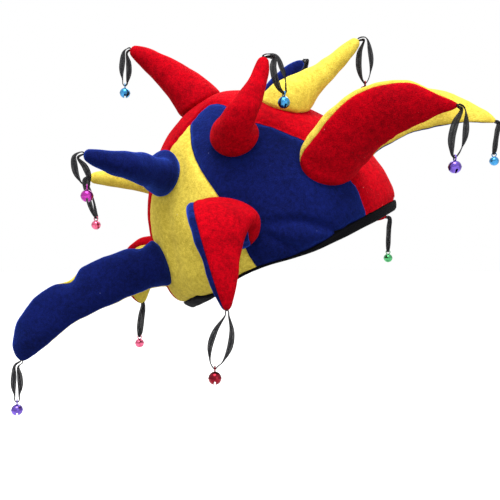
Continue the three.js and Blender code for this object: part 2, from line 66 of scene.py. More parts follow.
class Metal(Enum):
    """The colours of the bells, by the record's material slot."""

    BLUE = "bell_blue"
    GREEN = "bell_green"
    RED = "bell_red"
    PINK = "bell_pink"
    MAGENTA = "bell_magenta"
    VIOLET = "bell_violet"


PlushSet = dict[Hue, bpy.types.Material]
MetalSet = dict[Metal, bpy.types.Material]


# Small maths on whole arrays


def mix(first: Any, second: Any, share: Any) -> Any:
    """The value that lies a share of the way from the first to the second."""
    return first + (second - first) * share


def smoothstep(value: np.ndarray, low: float, high: float) -> np.ndarray:
    """An S-shaped rise from 0 at low to 1 at high: three squares less two cubes of the share between."""
    share = np.clip((value - low) / (high - low), 0, 1)
    return share * share * (3 - 2 * share)


def bump(value: np.ndarray, width: Any) -> np.ndarray:
    """A bell curve that is 1 at zero: e to the minus square of the value over the width."""
    return np.exp(-((value / width) ** 2))


def unit(vectors: np.ndarray) -> np.ndarray:
    """The vectors with their lengths made 1."""
    return vectors / np.maximum(np.linalg.norm(vectors, axis=-1, keepdims=True), 1e-12)


def turned_about(vectors: np.ndarray, axes: np.ndarray, angles: np.ndarray) -> np.ndarray:
    """Turns vectors square to their axes: cosine of the vector plus sine of the axis crossed with it."""
    return vectors * np.cos(angles)[..., None] + np.cross(axes, vectors) * np.sin(angles)[..., None]


def signed_power(value: np.ndarray, power: float) -> np.ndarray:
    """A power of the value's size, with the value's own sign."""
    return np.sign(value) * np.abs(value) ** power


def spun(x: Any, y: Any, angle: float) -> tuple[Any, Any]:
    """Coordinates turned by an angle in radians, from the first axis towards the second."""
    cos, sin = math.cos(angle), math.sin(angle)
    return x * cos - y * sin, x * sin + y * cos


def full_turn(count: int) -> np.ndarray:
    """Angles spaced evenly round a full turn, without its end."""
    return np.linspace(0, TURN, count, endpoint=False)


def line_length(line: np.ndarray) -> float:
    """Length of a line of points: the sum of its steps."""
    return float(np.linalg.norm(np.diff(line, axis=0), axis=1).sum())


def ripples(points: np.ndarray, wavelength: float, seed: int, count: int = 14) -> np.ndarray:
    """A soft unevenness: plane waves of seeded headings, lengths and phases, summed to a spread of 1.

    Args:
        points: places in millimetres, in the last axis of three.
        wavelength: the middle length of the waves in millimetres.
        seed: picks the waves.
        count: how many waves are summed.

    Returns:
        One number a place.
    """
    dice = np.random.default_rng(seed)
    headings = unit(dice.normal(size=(count, 3)))
    lengths = wavelength * dice.uniform(*WAVE_SPREAD, count)
    phases = dice.uniform(0, TURN, count)
    return np.sin(points @ (headings / lengths[:, None] * TURN).T + phases).sum(-1) * math.sqrt(2 / count)


def through(points: np.ndarray, steps: int) -> np.ndarray:
    """A smooth line through points: a cubic a span, whose end slopes weigh the gaps' square roots.

    Args:
        points: the points to pass, in order.
        steps: samples in each span.

    Returns:
        The samples, ending with the last point.
    """
    full = np.vstack([2 * points[0] - points[1], points, 2 * points[-1] - points[-2]])
    gaps = np.sqrt(np.linalg.norm(np.diff(full, axis=0), axis=1))[:, None]
    before, here, there, after = full[:-3], full[1:-2], full[2:-1], full[3:]
    gap_a, gap_b, gap_c = gaps[:-2], gaps[1:-1], gaps[2:]
    leave = ((here - before) / gap_a - (there - before) / (gap_a + gap_b) + (there - here) / gap_b) * gap_b
    arrive = ((there - here) / gap_b - (after - here) / (gap_b + gap_c) + (after - there) / gap_c) * gap_b
    t = np.linspace(0, 1, steps, endpoint=False)[None, :, None]
    u = 1 - t
    spans = (
        here[:, None] * u * u * (1 + 2 * t)
        + there[:, None] * t * t * (1 + 2 * u)
        + t * u * (u * leave[:, None] - t * arrive[:, None])
    )
    return np.vstack([spans.reshape(-1, 3), points[-1:]])


def evenly(line: np.ndarray, count: int) -> np.ndarray:
    """Points spaced evenly along a line of points: each coordinate read off at even shares of the length.

    Args:
        line: the line's points, in order.
        count: how many points to space along it.

    Returns:
        The points, from the line's first to its last.
    """
    run = np.concatenate([[0.0], np.cumsum(np.linalg.norm(np.diff(line, axis=0), axis=1))])
    at = np.linspace(0, run[-1], count)
    return np.stack([np.interp(at, run, line[:, k]) for k in range(3)], axis=-1)


def edge_runs(points: np.ndarray) -> list[np.ndarray]:
    """Distances of a grid's points from its four sides, each summed along the grid's own lines.

    Args:
        points: a grid of places, rows by columns by three.

    Returns:
        Four grids: from the first row, the last row, the first column and the last column.
    """
    runs = []
    for axis in (0, 1):
        steps = np.linalg.norm(np.diff(points, axis=axis), axis=-1)
        run = np.cumsum(np.concatenate([np.zeros_like(np.take(steps, [0], axis)), steps], axis), axis)
        runs += [run, np.take(run, [-1], axis) - run]
    return runs


# Surfaces


def grid_faces(rows: int, columns: int, wrap: bool = False) -> np.ndarray:
    """Four-sided faces of a grid of points numbered row by row.

    Args:
        rows: points down the grid.
        columns: points across it.
        wrap: joins the last column to the first.

    Returns:
        The corners of each face.
    """
    number = np.arange(rows * columns).reshape(rows, columns)
    right = np.roll(number, -1, axis=1)
    spans = columns if wrap else columns - 1
    corners = [number[:-1], number[1:], right[1:], right[:-1]]
    return np.stack([c[:, :spans].ravel() for c in corners], axis=-1)


def cloth_map(across: np.ndarray, along: np.ndarray) -> np.ndarray:
    """A place on the cloth for each point of a grid numbered row by row."""
    u, v = np.meshgrid(across, along)
    return np.stack([u.ravel(), v.ravel()], axis=-1)


@dataclass
class Skin:
    """Points in millimetres, their faces, and a place on the cloth for each point."""

    points: np.ndarray
    faces: list[np.ndarray]
    cloth: np.ndarray

    def outward(self) -> "Skin":
        """Turns the faces outwards, by the sign of the volume that they close.

        Returns:
            This surface.
        """
        fans = [f[:, [0, k, k + 1]] for f in self.faces for k in range(1, f.shape[1] - 1)]
        a, b, c = (self.points[np.vstack(fans)[:, k]] for k in range(3))
        if np.einsum("ij,ij->", a, np.cross(b, c)) < 0:
            self.faces = [f[:, ::-1] for f in self.faces]
        return self

    def plus(self, other: "Skin") -> "Skin":
        """Joins this surface and another one.

        Args:
            other: the surface to add.

        Returns:
            Both as one surface.
        """
        shifted = [f + len(self.points) for f in other.faces]
        points = np.vstack([self.points, other.points])
        return Skin(points, self.faces + shifted, np.vstack([self.cloth, other.cloth]))


def wall_skin(outer: np.ndarray, inner: np.ndarray) -> Skin:
    """A closed wall between two grids of points: both grids, joined along their four sides.

    Args:
        outer: the grid of the outer side.
        inner: the grid of the inner side, of the same shape.

    Returns:
        The closed surface.
    """
    rows, columns, _ = outer.shape
    faces = grid_faces(rows, columns)
    number = np.arange(rows * columns).reshape(rows, columns)
    border = np.concatenate([number[0, :-1], number[:-1, -1], number[-1, :0:-1], number[:0:-1, 0]])
    after = np.roll(border, -1)
    size = rows * columns
    sides = np.stack([border, after, after + size, border + size], axis=-1)
    points = np.vstack([outer.reshape(-1, 3), inner.reshape(-1, 3)])
    cloth = np.tile(cloth_map(np.linspace(0, 1, columns), np.linspace(0, 1, rows)), (2, 1))
    return Skin(points, [faces, faces[:, ::-1] + size, sides[:, ::-1]], cloth).outward()


def loft_skin(rings: np.ndarray, first: np.ndarray, last: np.ndarray) -> Skin:
    """A closed surface over rings of points, with a fan to a point at either end.

    Args:
        rings: rings by points by three.
        first: the point that closes the first ring.
        last: the point that closes the last ring.

    Returns:
        The closed surface.
    """
    count, around, _ = rings.shape
    number = np.arange(around)
    after = np.roll(number, -1)
    size = count * around
    low_fan = np.stack([np.full(around, size), number, after], axis=-1)
    high_fan = np.stack([np.full(around, size + 1), after + size - around, number + size - around], axis=-1)
    points = np.vstack([rings.reshape(-1, 3), first, last])
    ends = [[0.5, 0], [0.5, 1]]
    cloth = np.vstack([cloth_map(number / around, np.linspace(0, 1, count)), ends])
    return Skin(points, [grid_faces(count, around, wrap=True), low_fan, high_fan], cloth).outward()


def ring_skin(rings: np.ndarray) -> Skin:
    """A closed surface over rings of points that run round to meet themselves, as a torus does.

    Args:
        rings: rings by points by three.

    Returns:
        The closed surface.
    """
    count, around, _ = rings.shape
    number = np.arange(count * around).reshape(count, around)
    corners = [number, np.roll(number, -1, 0), np.roll(number, (-1, -1), (0, 1)), np.roll(number, -1, 1)]
    faces = np.stack([c.ravel() for c in corners], axis=-1)
    cloth = cloth_map(np.arange(around) / around, np.arange(count) / count)
    return Skin(rings.reshape(-1, 3), [faces], cloth).outward()


def put(name: str, data: bpy.types.ID) -> bpy.types.Object:
    """Puts an object of this mesh, lamp or camera into the scene.

    Args:
        name: the object's name.
        data: what it shows.

    Returns:
        The object, at the origin.
    """
    made = bpy.data.objects.new(name, data)
    bpy.context.collection.objects.link(made)
    return made


def make_piece(name: str, skin: Skin, material: bpy.types.Material) -> bpy.types.Object:
    """Makes a smooth object of a surface, and rides it on the hat's one body.

    Args:
        name: the object's name.
        skin: its surface, in millimetres.
        material: its finish.

    Returns:
        The object, at the origin, with its place in its mesh.
    """
    mesh = bpy.data.meshes.new(name)
    faces = [face for block in skin.faces for face in block.tolist()]
    mesh.from_pydata((skin.points * MM).tolist(), [], faces)
    mesh.polygons.foreach_set("use_smooth", np.ones(len(mesh.polygons), bool))
    corner = np.empty(len(mesh.loops), np.int32)
    mesh.loops.foreach_get("vertex_index", corner)
    layer = mesh.uv_layers.new(name="cloth")
    layer.data.foreach_set("uv", skin.cloth[corner].astype(np.float32).ravel())
    mesh.materials.append(material)
    mesh.update()
    piece = put(name, mesh)
    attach(piece, BODY)
    log.info("%s: %d points", name, len(skin.points))
    return piece


# Shaders


class Wire:
    """A shader socket whose arithmetic adds Math nodes to its bench."""

    def __init__(self, bench: "Bench", socket: bpy.types.NodeSocket) -> None:
        """Holds the socket and the bench whose nodes it belongs to."""
        self.bench = bench
        self.socket = socket

    def _math(self, operation: str, first: Any, second: Any = 0.0) -> "Wire":
        """Adds a Math node of two values."""
        return self.bench.node("ShaderNodeMath", {"operation": operation}, {0: first, 1: second})

    def __add__(self, other: Any) -> "Wire":
        """Sum."""
        return self._math("ADD", self, other)

    def __radd__(self, other: Any) -> "Wire":
        """Sum, from the right."""
        return self._math("ADD", other, self)

    def __sub__(self, other: Any) -> "Wire":
        """Difference."""
        return self._math("SUBTRACT", self, other)

    def __rsub__(self, other: Any) -> "Wire":
        """Difference, from the right."""
        return self._math("SUBTRACT", other, self)

    def __mul__(self, other: Any) -> "Wire":
        """Product."""
        return self._math("MULTIPLY", self, other)

    def __rmul__(self, other: Any) -> "Wire":
        """Product, from the right."""
        return self._math("MULTIPLY", other, self)

    def __pow__(self, other: Any) -> "Wire":
        """Power."""
        return self._math("POWER", self, other)

    def sine(self) -> "Wire":
        """Sine of the value."""
        return self._math("SINE", self)

    def ramp(self, low: float, high: float) -> "Wire":
        """A smooth rise from 0 at low to 1 at high, which may be the lower of the two."""
        settings = {"interpolation_type": "SMOOTHSTEP"}
        return self.bench.node("ShaderNodeMapRange", settings, {0: self, 1: low, 2: high, 3: 0.0, 4: 1.0})


class Bench:
    """The nodes of a material or a sky being built."""

    def __init__(self, owner: bpy.types.Material | bpy.types.World) -> None:
        """Starts with no nodes at all.

        Args:
            owner: the material or sky.
        """
        owner.use_nodes = True
        self.owner = owner
        self.tree = owner.node_tree
        self.tree.nodes.clear()

    @classmethod
    def material(cls, name: str) -> "Bench":
        """A bench for a new material."""
        return cls(bpy.data.materials.new(name))

    def node(self, kind: str, settings: dict[str, Any], inputs: dict[Any, Any], out: Any = 0) -> Wire:
        """Adds a node.

        Args:
            kind: the node's type.
            settings: its own choices, which are set first.
            inputs: values or wires by socket name or number.
            out: the socket to carry on from.

        Returns:
            That socket.
        """
        made = self.tree.nodes.new(kind)
        for key, value in settings.items():
            setattr(made, key, value)
        for key, value in inputs.items():
            if isinstance(value, Wire):
                self.tree.links.new(value.socket, made.inputs[key])
            else:
                made.inputs[key].default_value = value
        return Wire(self, made.outputs[out] if made.outputs else None)

    def place(self) -> Wire:
        """The place on the object, in metres."""
        return self.node("ShaderNodeTexCoord", {}, {}, "Object")

    def cloth(self, axis: str) -> Wire:
        """One coordinate of the piece's own cloth map, X or Y."""
        uv = self.node("ShaderNodeTexCoord", {}, {}, "UV")
        return self.node("ShaderNodeSeparateXYZ", {}, {0: uv}, axis)

    def wave(self, axis: str, count: float) -> Wire:
        """So many sine waves along one coordinate of the cloth map, from 0 to 1."""
        return (self.cloth(axis) * (TURN * count)).sine() * 0.5 + 0.5

    def noise(self, place: Wire, scale: float, detail: float = 2.0) -> Wire:
        """Cloudy noise about a half."""
        return self.node("ShaderNodeTexNoise", {}, {"Vector": place, "Scale": scale, "Detail": detail}, 0)

    def blend(self, share: Any, first: Any, second: Any) -> Wire:
        """A colour between two colours."""
        return self.node("ShaderNodeMix", {"data_type": "RGBA"}, {0: share, 6: first, 7: second}, 2)

    def normal(self, height: Wire, strength: float, distance: float) -> Wire:
        """A surface tilted by a height map."""
        inputs = {"Strength": strength, "Distance": distance, "Height": height}
        return self.node("ShaderNodeBump", {}, inputs, "Normal")

    def finish(self, inputs: dict[str, Any]) -> bpy.types.Material:
        """Closes the material with a Principled shader.

        Args:
            inputs: values or wires by socket name.

        Returns:
            The material.
        """
        shader = self.node("ShaderNodeBsdfPrincipled", {}, inputs)
        self.node("ShaderNodeOutputMaterial", {"target": "ALL"}, {"Surface": shader})
        return self.owner


def linear(code: str) -> Colour:
    """A colour as linear light: each share to the power 2.4, past a straight part in the dark.

    Args:
        code: six hex digits of red, green and blue.

    Returns:
        Red, green, blue and a full alpha.
    """
    shares = [int(code[k : k + 2], 16) / 255 for k in (0, 2, 4)]
    red, green, blue = (s / 12.92 if s <= 0.04045 else ((s + 0.055) / 1.055) ** 2.4 for s in shares)
    return red, green, blue, 1.0


@dataclass(frozen=True)
class Velour:
    """Short-pile plush: mottled nap, a fine pile that catches light, and a few specks of lint."""

    hue: Hue
    deep: str
    lit: str
    fuzz: str
    lint: str
    sheen: float
    fuzz_roughness: float = 0.42
    gloss: float = 0.04
    rough: tuple[float, float] = (0.86, 0.98)
    nap_scale: float = 30.0
    nap_detail: float = 3.0
    tuft_scale: float = 330.0
    pile_scale: float = 1500.0
    tone_weights: Vector3 = (0.55, 0.8, 1.2)
    tone_floor: float = 0.78
    pile_bump: tuple[float, float] = (0.5, 0.0008)
    lint_scale: float = 150.0
    lint_edge: tuple[float, float] = (0.07, 0.03)
    lint_weight: float = 0.5
    patch_scale: float = 47.0
    patch_edge: tuple[float, float] = (0.6, 0.68)

    def dress(self) -> bpy.types.Material:
        """Builds the plush.

        Returns:
            The material.
        """
        bench = Bench.material(self.hue.value)
        place = bench.place()
        nap = bench.noise(place, self.nap_scale, self.nap_detail)
        tuft = bench.noise(place, self.tuft_scale)
        pile = bench.noise(place, self.pile_scale)
        nap_weight, tuft_weight, pile_weight = self.tone_weights
        tone = nap * nap_weight + tuft * tuft_weight + pile * pile_weight - self.tone_floor
        plush = bench.blend(tone.ramp(0.0, 1.0), linear(self.deep), linear(self.lit))
        cell = bench.node("ShaderNodeTexVoronoi", {}, {"Vector": place, "Scale": self.lint_scale}, "Distance")
        patches = bench.noise(place, self.patch_scale, 0.0).ramp(*self.patch_edge)
        specks = cell.ramp(*self.lint_edge) * patches * self.lint_weight
        return bench.finish(
            {
                "Base Color": bench.blend(specks, plush, linear(self.lint)),
                "Roughness": mix(*self.rough, nap),
                "Specular IOR Level": self.gloss,
                "Sheen Weight": self.sheen,
                "Sheen Roughness": self.fuzz_roughness,
                "Sheen Tint": linear(self.fuzz),
                "Normal": bench.normal(pile + tuft, *self.pile_bump),
            }
        )


@dataclass(frozen=True)
class Tape:
    """Black binding tape with fine ribs across it."""

    dark: str = "020203"
    light: str = "0c0c10"
    rough: tuple[float, float] = (0.85, 0.97)
    gloss: float = 0.06
    ribs: float = 420.0
    rib_bump: tuple[float, float] = (0.4, 0.0004)
    wear_scale: float = 60.0
    wear_detail: float = 3.0
    thread_scale: float = 900.0
    thread_weight: float = 0.5

    def dress(self) -> bpy.types.Material:
        """Builds the tape.

        Returns:
            The material.
        """
        bench = Bench.material(TAPE_SLOT)
        place = bench.place()
        rib = bench.wave("Y", self.ribs)
        wear = bench.noise(place, self.wear_scale, self.wear_detail)
        threads = bench.noise(place, self.thread_scale) * self.thread_weight
        return bench.finish(
            {
                "Base Color": bench.blend(rib * 0.5 + wear * 0.5, linear(self.dark), linear(self.light)),
                "Roughness": mix(*self.rough, wear),
                "Specular IOR Level": self.gloss,
                "Normal": bench.normal(rib + threads, *self.rib_bump),
            }
        )


@dataclass(frozen=True)
class Organza:
    """Sheer black ribbon: a crisp weave that lets light through, closer along both edges and the middle."""

    dark: str = "040406"
    light: str = "18181d"
    rough: tuple[float, float] = (0.45, 0.7)
    gloss: float = 0.2
    wefts: float = 90.0
    weave_bump: tuple[float, float] = (0.3, 0.0003)
    close_edge: tuple[float, float] = (0.35, 0.0)
    cloud_scale: float = 330.0
    cover_weights: Vector3 = (0.2, 0.1, 0.35)
    least_cover: float = 0.6

    def dress(self) -> bpy.types.Material:
        """Builds the ribbon's cloth.

        Returns:
            The material.
        """
        bench = Bench.material(RIBBON_SLOT)
        close = ((bench.cloth("X") * 2.0 * TURN).sine() ** 2.0).ramp(*self.close_edge)
        weft = bench.wave("Y", self.wefts)
        cloud = bench.noise(bench.place(), self.cloud_scale)
        close_weight, weft_weight, cloud_weight = self.cover_weights
        cover = close * close_weight + weft * weft_weight + cloud * cloud_weight + self.least_cover
        return bench.finish(
            {
                "Base Color": bench.blend(cloud, linear(self.dark), linear(self.light)),
                "Roughness": mix(*self.rough, cloud),
                "Specular IOR Level": self.gloss,
                "Alpha": cover,
                "Normal": bench.normal(weft + cloud, *self.weave_bump),
            }
        )


@dataclass(frozen=True)
class Anodised:
    """Thin bell metal with a bright coloured skin, dulled in places by handling."""

    metal: Metal
    colour: str
    dulling: float = 0.62
    rough: tuple[float, float] = (0.12, 0.34)
    smear_scale: float = 240.0
    smear_detail: float = 3.0
    smear_edge: tuple[float, float] = (0.35, 0.7)
    grain_scale: float = 800.0
    grain_bump: tuple[float, float] = (0.06, 0.0003)

    def dress(self) -> bpy.types.Material:
        """Builds the metal.

        Returns:
            The material.
        """
        bench = Bench.material(self.metal.value)
        place = bench.place()
        smear = bench.noise(place, self.smear_scale, self.smear_detail)
        bright = linear(self.colour)
        dull = (*(share * self.dulling for share in bright[:3]), 1.0)
        return bench.finish(
            {
                "Base Color": bench.blend(smear.ramp(*self.smear_edge), bright, dull),
                "Metallic": 1.0,
                "Roughness": mix(*self.rough, smear),
                "Normal": bench.normal(bench.noise(place, self.grain_scale), *self.grain_bump),
            }
        )


@dataclass(frozen=True)
class PaleFloor:
    """Plain pale studio paper."""

    name: str = "studio_paper"
    dark: str = "f4f4f4"
    light: str = "fafafa"
    roughness: float = 0.9
    gloss: float = 0.1
    grain_scale: float = 900.0

    def dress(self) -> bpy.types.Material:
        """Builds the paper.

        Returns:
            The material.
        """
        bench = Bench.material(self.name)
        grain = bench.noise(bench.place(), self.grain_scale)
        colour = bench.blend(grain, linear(self.dark), linear(self.light))
        inputs = {"Base Color": colour, "Roughness": self.roughness, "Specular IOR Level": self.gloss}
        return bench.finish(inputs)


VELOURS = (
    Velour(Hue.RED, deep="76000b", lit="c80014", fuzz="ff242a", lint="f0a8a0", sheen=0.25),
    Velour(Hue.BLUE, deep="05082a", lit="0f195a", fuzz="3f6cff", lint="8e9cd8", sheen=1.0),
    Velour(Hue.YELLOW, deep="b89e34", lit="f0da58", fuzz="fff2a0", lint="fffbe0", sheen=0.25),
)
METALS = (
    Anodised(Metal.BLUE, "3f86b8"),
    Anodised(Metal.GREEN, "4a9a62"),
    Anodised(Metal.RED, "7e1c28"),
    Anodised(Metal.PINK, "d0607f"),
    Anodised(Metal.MAGENTA, "a43494"),
    Anodised(Metal.VIOLET, "6a52b0"),
)


# The crown


@dataclass(frozen=True)
class CrownShape:
    """The crown's outer surface over a disc: 0 is the top, 1 the rim, p runs forward and q to the left."""

    tilt: float = math.radians(26)
    height: float = 154.0
    rim_half: tuple[float, float] = (95.0, 81.0)
    belly_half: tuple[float, float] = (104.0, 88.0)
    belly_centre: float = -3.3
    belly_height: float = 25.0
    belly_share: float = 0.88
    power_front: float = 1.6
    power_side: float = 1.9
    power_back: float = 2.0
    meridian: float = 208.0

    def power(self, around: np.ndarray) -> np.ndarray:
        """Power of the dome's round: from the side's to the front's or back's by the cosine squared.

        Args:
            around: angles round from the front.

        Returns:
            One power an angle.
        """
        forward = np.cos(around)
        ahead = np.where(forward > 0, self.power_front, self.power_back)
        return mix(self.power_side, ahead, forward * forward)

    def level_ring(self, drop: np.ndarray) -> tuple[np.ndarray, np.ndarray, np.ndarray]:
        """The ring at a share of the way from the belly to the rim: its sizes go by the share's square.

        Args:
            drop: shares of the way, of which those below 0 give the belly's ring.

        Returns:
            The ring's centre, and its half-sizes along and across.
        """
        pull = np.maximum(drop, 0) ** 2
        centre = self.belly_centre * (1 - pull)
        long = mix(self.belly_half[0], self.rim_half[0], pull)
        wide = mix(self.belly_half[1], self.rim_half[1], pull)
        return centre, long, wide

    def smooth(self, p: np.ndarray, q: np.ndarray) -> np.ndarray:
        """The surface before it is tilted: powers of sine and cosine above the belly, a tuck-in below it.

        Args:
            p: places on the disc, forward.
            q: places on the disc, to the left.

        Returns:
            Places in millimetres.
        """
        down = np.hypot(p, q)
        around = np.arctan2(q, p)
        turn = np.clip(down / self.belly_share, 0, 1) * math.pi / 2
        rounding = 2 / self.power(around)
        reach = np.sin(turn) ** rounding
        rise = np.maximum(np.cos(turn), 0) ** rounding
        drop = (down - self.belly_share) / (1 - self.belly_share)
        centre, long, wide = self.level_ring(drop)
        dome = self.belly_height + (self.height - self.belly_height) * rise
        z = np.where(drop > 0, self.belly_height * (1 - drop), dome)
        return np.stack([centre + long * reach * np.cos(around), wide * reach * np.sin(around), z], axis=-1)

    def tilted(self, points: np.ndarray) -> np.ndarray:
        """The points turned about Y, so that the front of the rim is lifted.

        Args:
            points: places or headings.

        Returns:
            The turned ones.
        """
        x, y, z = np.moveaxis(points, -1, 0)
        x, z = spun(x, z, self.tilt)
        return np.stack([x, y, z], axis=-1)

    def normal(self, p: np.ndarray, q: np.ndarray) -> np.ndarray:
        """The tilted surface's outward normal, crossed from small steps either way.

        Args:
            p: places on the disc, forward.
            q: places on the disc, to the left.

        Returns:
            Unit vectors.
        """
        step = 1e-3
        along_p = self.smooth(p + step, q) - self.smooth(p - step, q)
        along_q = self.smooth(p, q + step) - self.smooth(p, q - step)
        return self.tilted(unit(np.cross(along_p, along_q)))

    def place(self, p: np.ndarray, q: np.ndarray, lift: Any = 0.0) -> np.ndarray:
        """Places on the tilted surface, lifted off it by so many millimetres."""
        return self.tilted(self.smooth(p, q)) + self.normal(p, q) * np.asarray(lift)[..., None]

    def at(self, around: float, down: float, lift: float = 0.0) -> np.ndarray:
        """One place on the surface, by degrees round from the front and share of the way down."""
        angle = math.radians(around)
        return self.place(np.array(down * math.cos(angle)), np.array(down * math.sin(angle)), lift)

    def outside(self, points: np.ndarray) -> np.ndarray:
        """Which side of the crown: powers of reach and rise, less 1, or below the belly the reach less 1.

        Args:
            points: places in millimetres.

        Returns:
            Numbers that are above 0 outside the crown.
        """
        x, y, z = np.moveaxis(points, -1, 0)
        x, z = spun(x, z, -self.tilt)
        centre, long, wide = self.level_ring(1 - z / self.belly_height)
        ahead, aside = (x - centre) / long, y / wide
        reach = np.hypot(ahead, aside)
        power = self.power(np.arctan2(aside, ahead))
        rise = np.maximum(z - self.belly_height, 0) / (self.height - self.belly_height)
        return np.where(z > self.belly_height, reach**power + rise**power - 1, reach - 1)


CROWN = CrownShape()


@dataclass(frozen=True)
class Fold:
    """A soft dent: its place, heading in degrees and size on the disc, and its depth in millimetres."""

    p: float
    q: float
    heading: float
    long: float
    wide: float
    depth: float

    def lift(self, p: np.ndarray, q: np.ndarray) -> np.ndarray:
        """A long bell curve turned to its heading, taken away."""
        along, aside = spun(p - self.p, q - self.q, -math.radians(self.heading))
        return -self.depth * bump(along, self.long) * bump(aside, self.wide)


@dataclass(frozen=True)
class PanelCut:
    """How the crown is cut: the strip's half-widths along its way, its corners, and the side seams."""

    shape: CrownShape = CROWN
    along: tuple[float, ...] = (0, 0.06, 0.14, 0.215, 0.29, 0.325, 0.38, 0.41, 0.5, 0.6, 0.75, 1)
    halves: tuple[float, ...] = (0.76, 0.62, 0.545, 0.523, 0.47, 0.44, 0.27, 0.238, 0.27, 0.245, 0.185, 0.17)
    strip_front: float = 52.0
    strip_back: float = 10.0
    seam_along: float = 0.484
    seam_around: float = 107.5
    seam_sway: float = 0.027
    seam_gap: float = 0.0006
    corner_along: float = 0.001
    corner_around: float = 0.15
    hem_least: float = 1.6
    hem_most: float = 7.5
    hem_front: tuple[float, float] = (50.0, 98.0)
    hem_back: tuple[float, float] = (132.0, 150.0)
    arch_around: float = 112.0
    arch_span: float = 20.0
    arch_rise: float = 7.5

    def strip_half(self, along: np.ndarray) -> np.ndarray:
        """The strip's half-width: cubics through the table, by harmonic means of slopes, so none overshoots.

        Args:
            along: shares of the way from front to back.

        Returns:
            Half-widths on the disc.
        """
        x, y = np.array(self.along), np.array(self.halves)
        gaps, slopes = np.diff(x), np.diff(y) / np.diff(x)
        product = slopes[:-1] * slopes[1:]
        total = np.where(product > 0, slopes[:-1] + slopes[1:], 1)
        inner = np.where(product > 0, 2 * product / total, 0)
        tangents = np.concatenate([slopes[:1], inner, slopes[-1:]])
        i = np.clip(np.searchsorted(x, along, side="left") - 1, 0, len(gaps) - 1)
        t = (along - x[i]) / gaps[i]
        u = 1 - t
        ends = u * u * (1 + 2 * t) * y[i] + t * t * (1 + 2 * u) * y[i + 1]
        return ends + gaps[i] * t * u * (u * tangents[i] - t * tangents[i + 1])

    def rim_level(self, around: np.ndarray) -> np.ndarray:
        """Share of the way down where the rim lies: 1, less a bell curve at either side."""
        arch = bump(np.abs(around) - self.arch_around, self.arch_span)
        return 1 - self.arch_rise * arch / self.shape.meridian

    def hem_level(self, around: np.ndarray) -> np.ndarray:
        """Share of the way down where the hem lies: drawn up from the rim in front and behind.

        Args:
            around: degrees round from the front.

        Returns:
            One share an angle.
        """
        angle = np.abs(around)
        drawn = np.maximum(1 - smoothstep(angle, *self.hem_front), smoothstep(angle, *self.hem_back))
        return self.rim_level(around) - mix(self.hem_least, self.hem_most, drawn) / self.shape.meridian

    def hem(self, around: np.ndarray) -> tuple[np.ndarray, np.ndarray]:
        """The hem on the disc, at degrees round from the front."""
        down, angle = self.hem_level(around), np.radians(around)
        return down * np.cos(angle), down * np.sin(angle)

    def strip(self, along: np.ndarray, across: np.ndarray) -> tuple[np.ndarray, np.ndarray]:
        """The strip on the disc: straight from front hem to back hem, spread to its half-width.

        Args:
            along: share of the way from front to back.
            across: from -1 at its right seam to 1 at its left seam.

        Returns:
            p and q.
        """
        front_p, front_q = self.hem(across * self.strip_front)
        back_p, back_q = self.hem(180 - across * self.strip_back)
        front_edge = self.hem(np.array(self.strip_front))[1]
        back_edge = self.hem(np.array(180 - self.strip_back))[1]
        spread = mix(front_q / front_edge, back_q / back_edge, along)
        return mix(front_p, back_p, along), self.strip_half(along) * spread

    def side(
        self, side: int, front: bool, along: np.ndarray, down: np.ndarray
    ) -> tuple[np.ndarray, np.ndarray]:
        """A side panel on the disc: straight from strip to hem, swayed by a sine at the side seam.

        Args:
            side: 1 for the hat's left, -1 for its right.
            front: the front panel of that side, not the back one.
            along: share of the way from front to back.
            down: share of the way from the strip to the hem.

        Returns:
            p and q.
        """
        gap = self.seam_gap / 2
        way = mix(0, self.seam_along, along) if front else mix(self.seam_along, 1, along)
        turn = math.degrees(gap)
        if front:
            ends = self.corner_along, self.seam_along - gap
            feet = self.strip_front + self.corner_around, self.seam_around - turn
        else:
            ends = self.seam_along + gap, 1 - self.corner_along
            feet = self.seam_around + turn, 180 - self.strip_back - self.corner_around
        top_p, top_q = self.strip(np.clip(way, *ends), np.full_like(along, side))
        foot_p, foot_q = self.hem(side * mix(*feet, along))
        sway = self.seam_sway * np.sin(TURN * down) * (along if front else 1 - along)
        return mix(top_p, foot_p, down) - sway, mix(top_q + side * self.seam_gap, foot_q, down)


CUT = PanelCut()


@dataclass(frozen=True)
class Panel:
    """One sewn panel: its colour, its side, and the flat size and area of its cut in metres."""

    name: str
    hue: Hue
    side: int
    front: bool
    flat: tuple[float, float]
    area: float


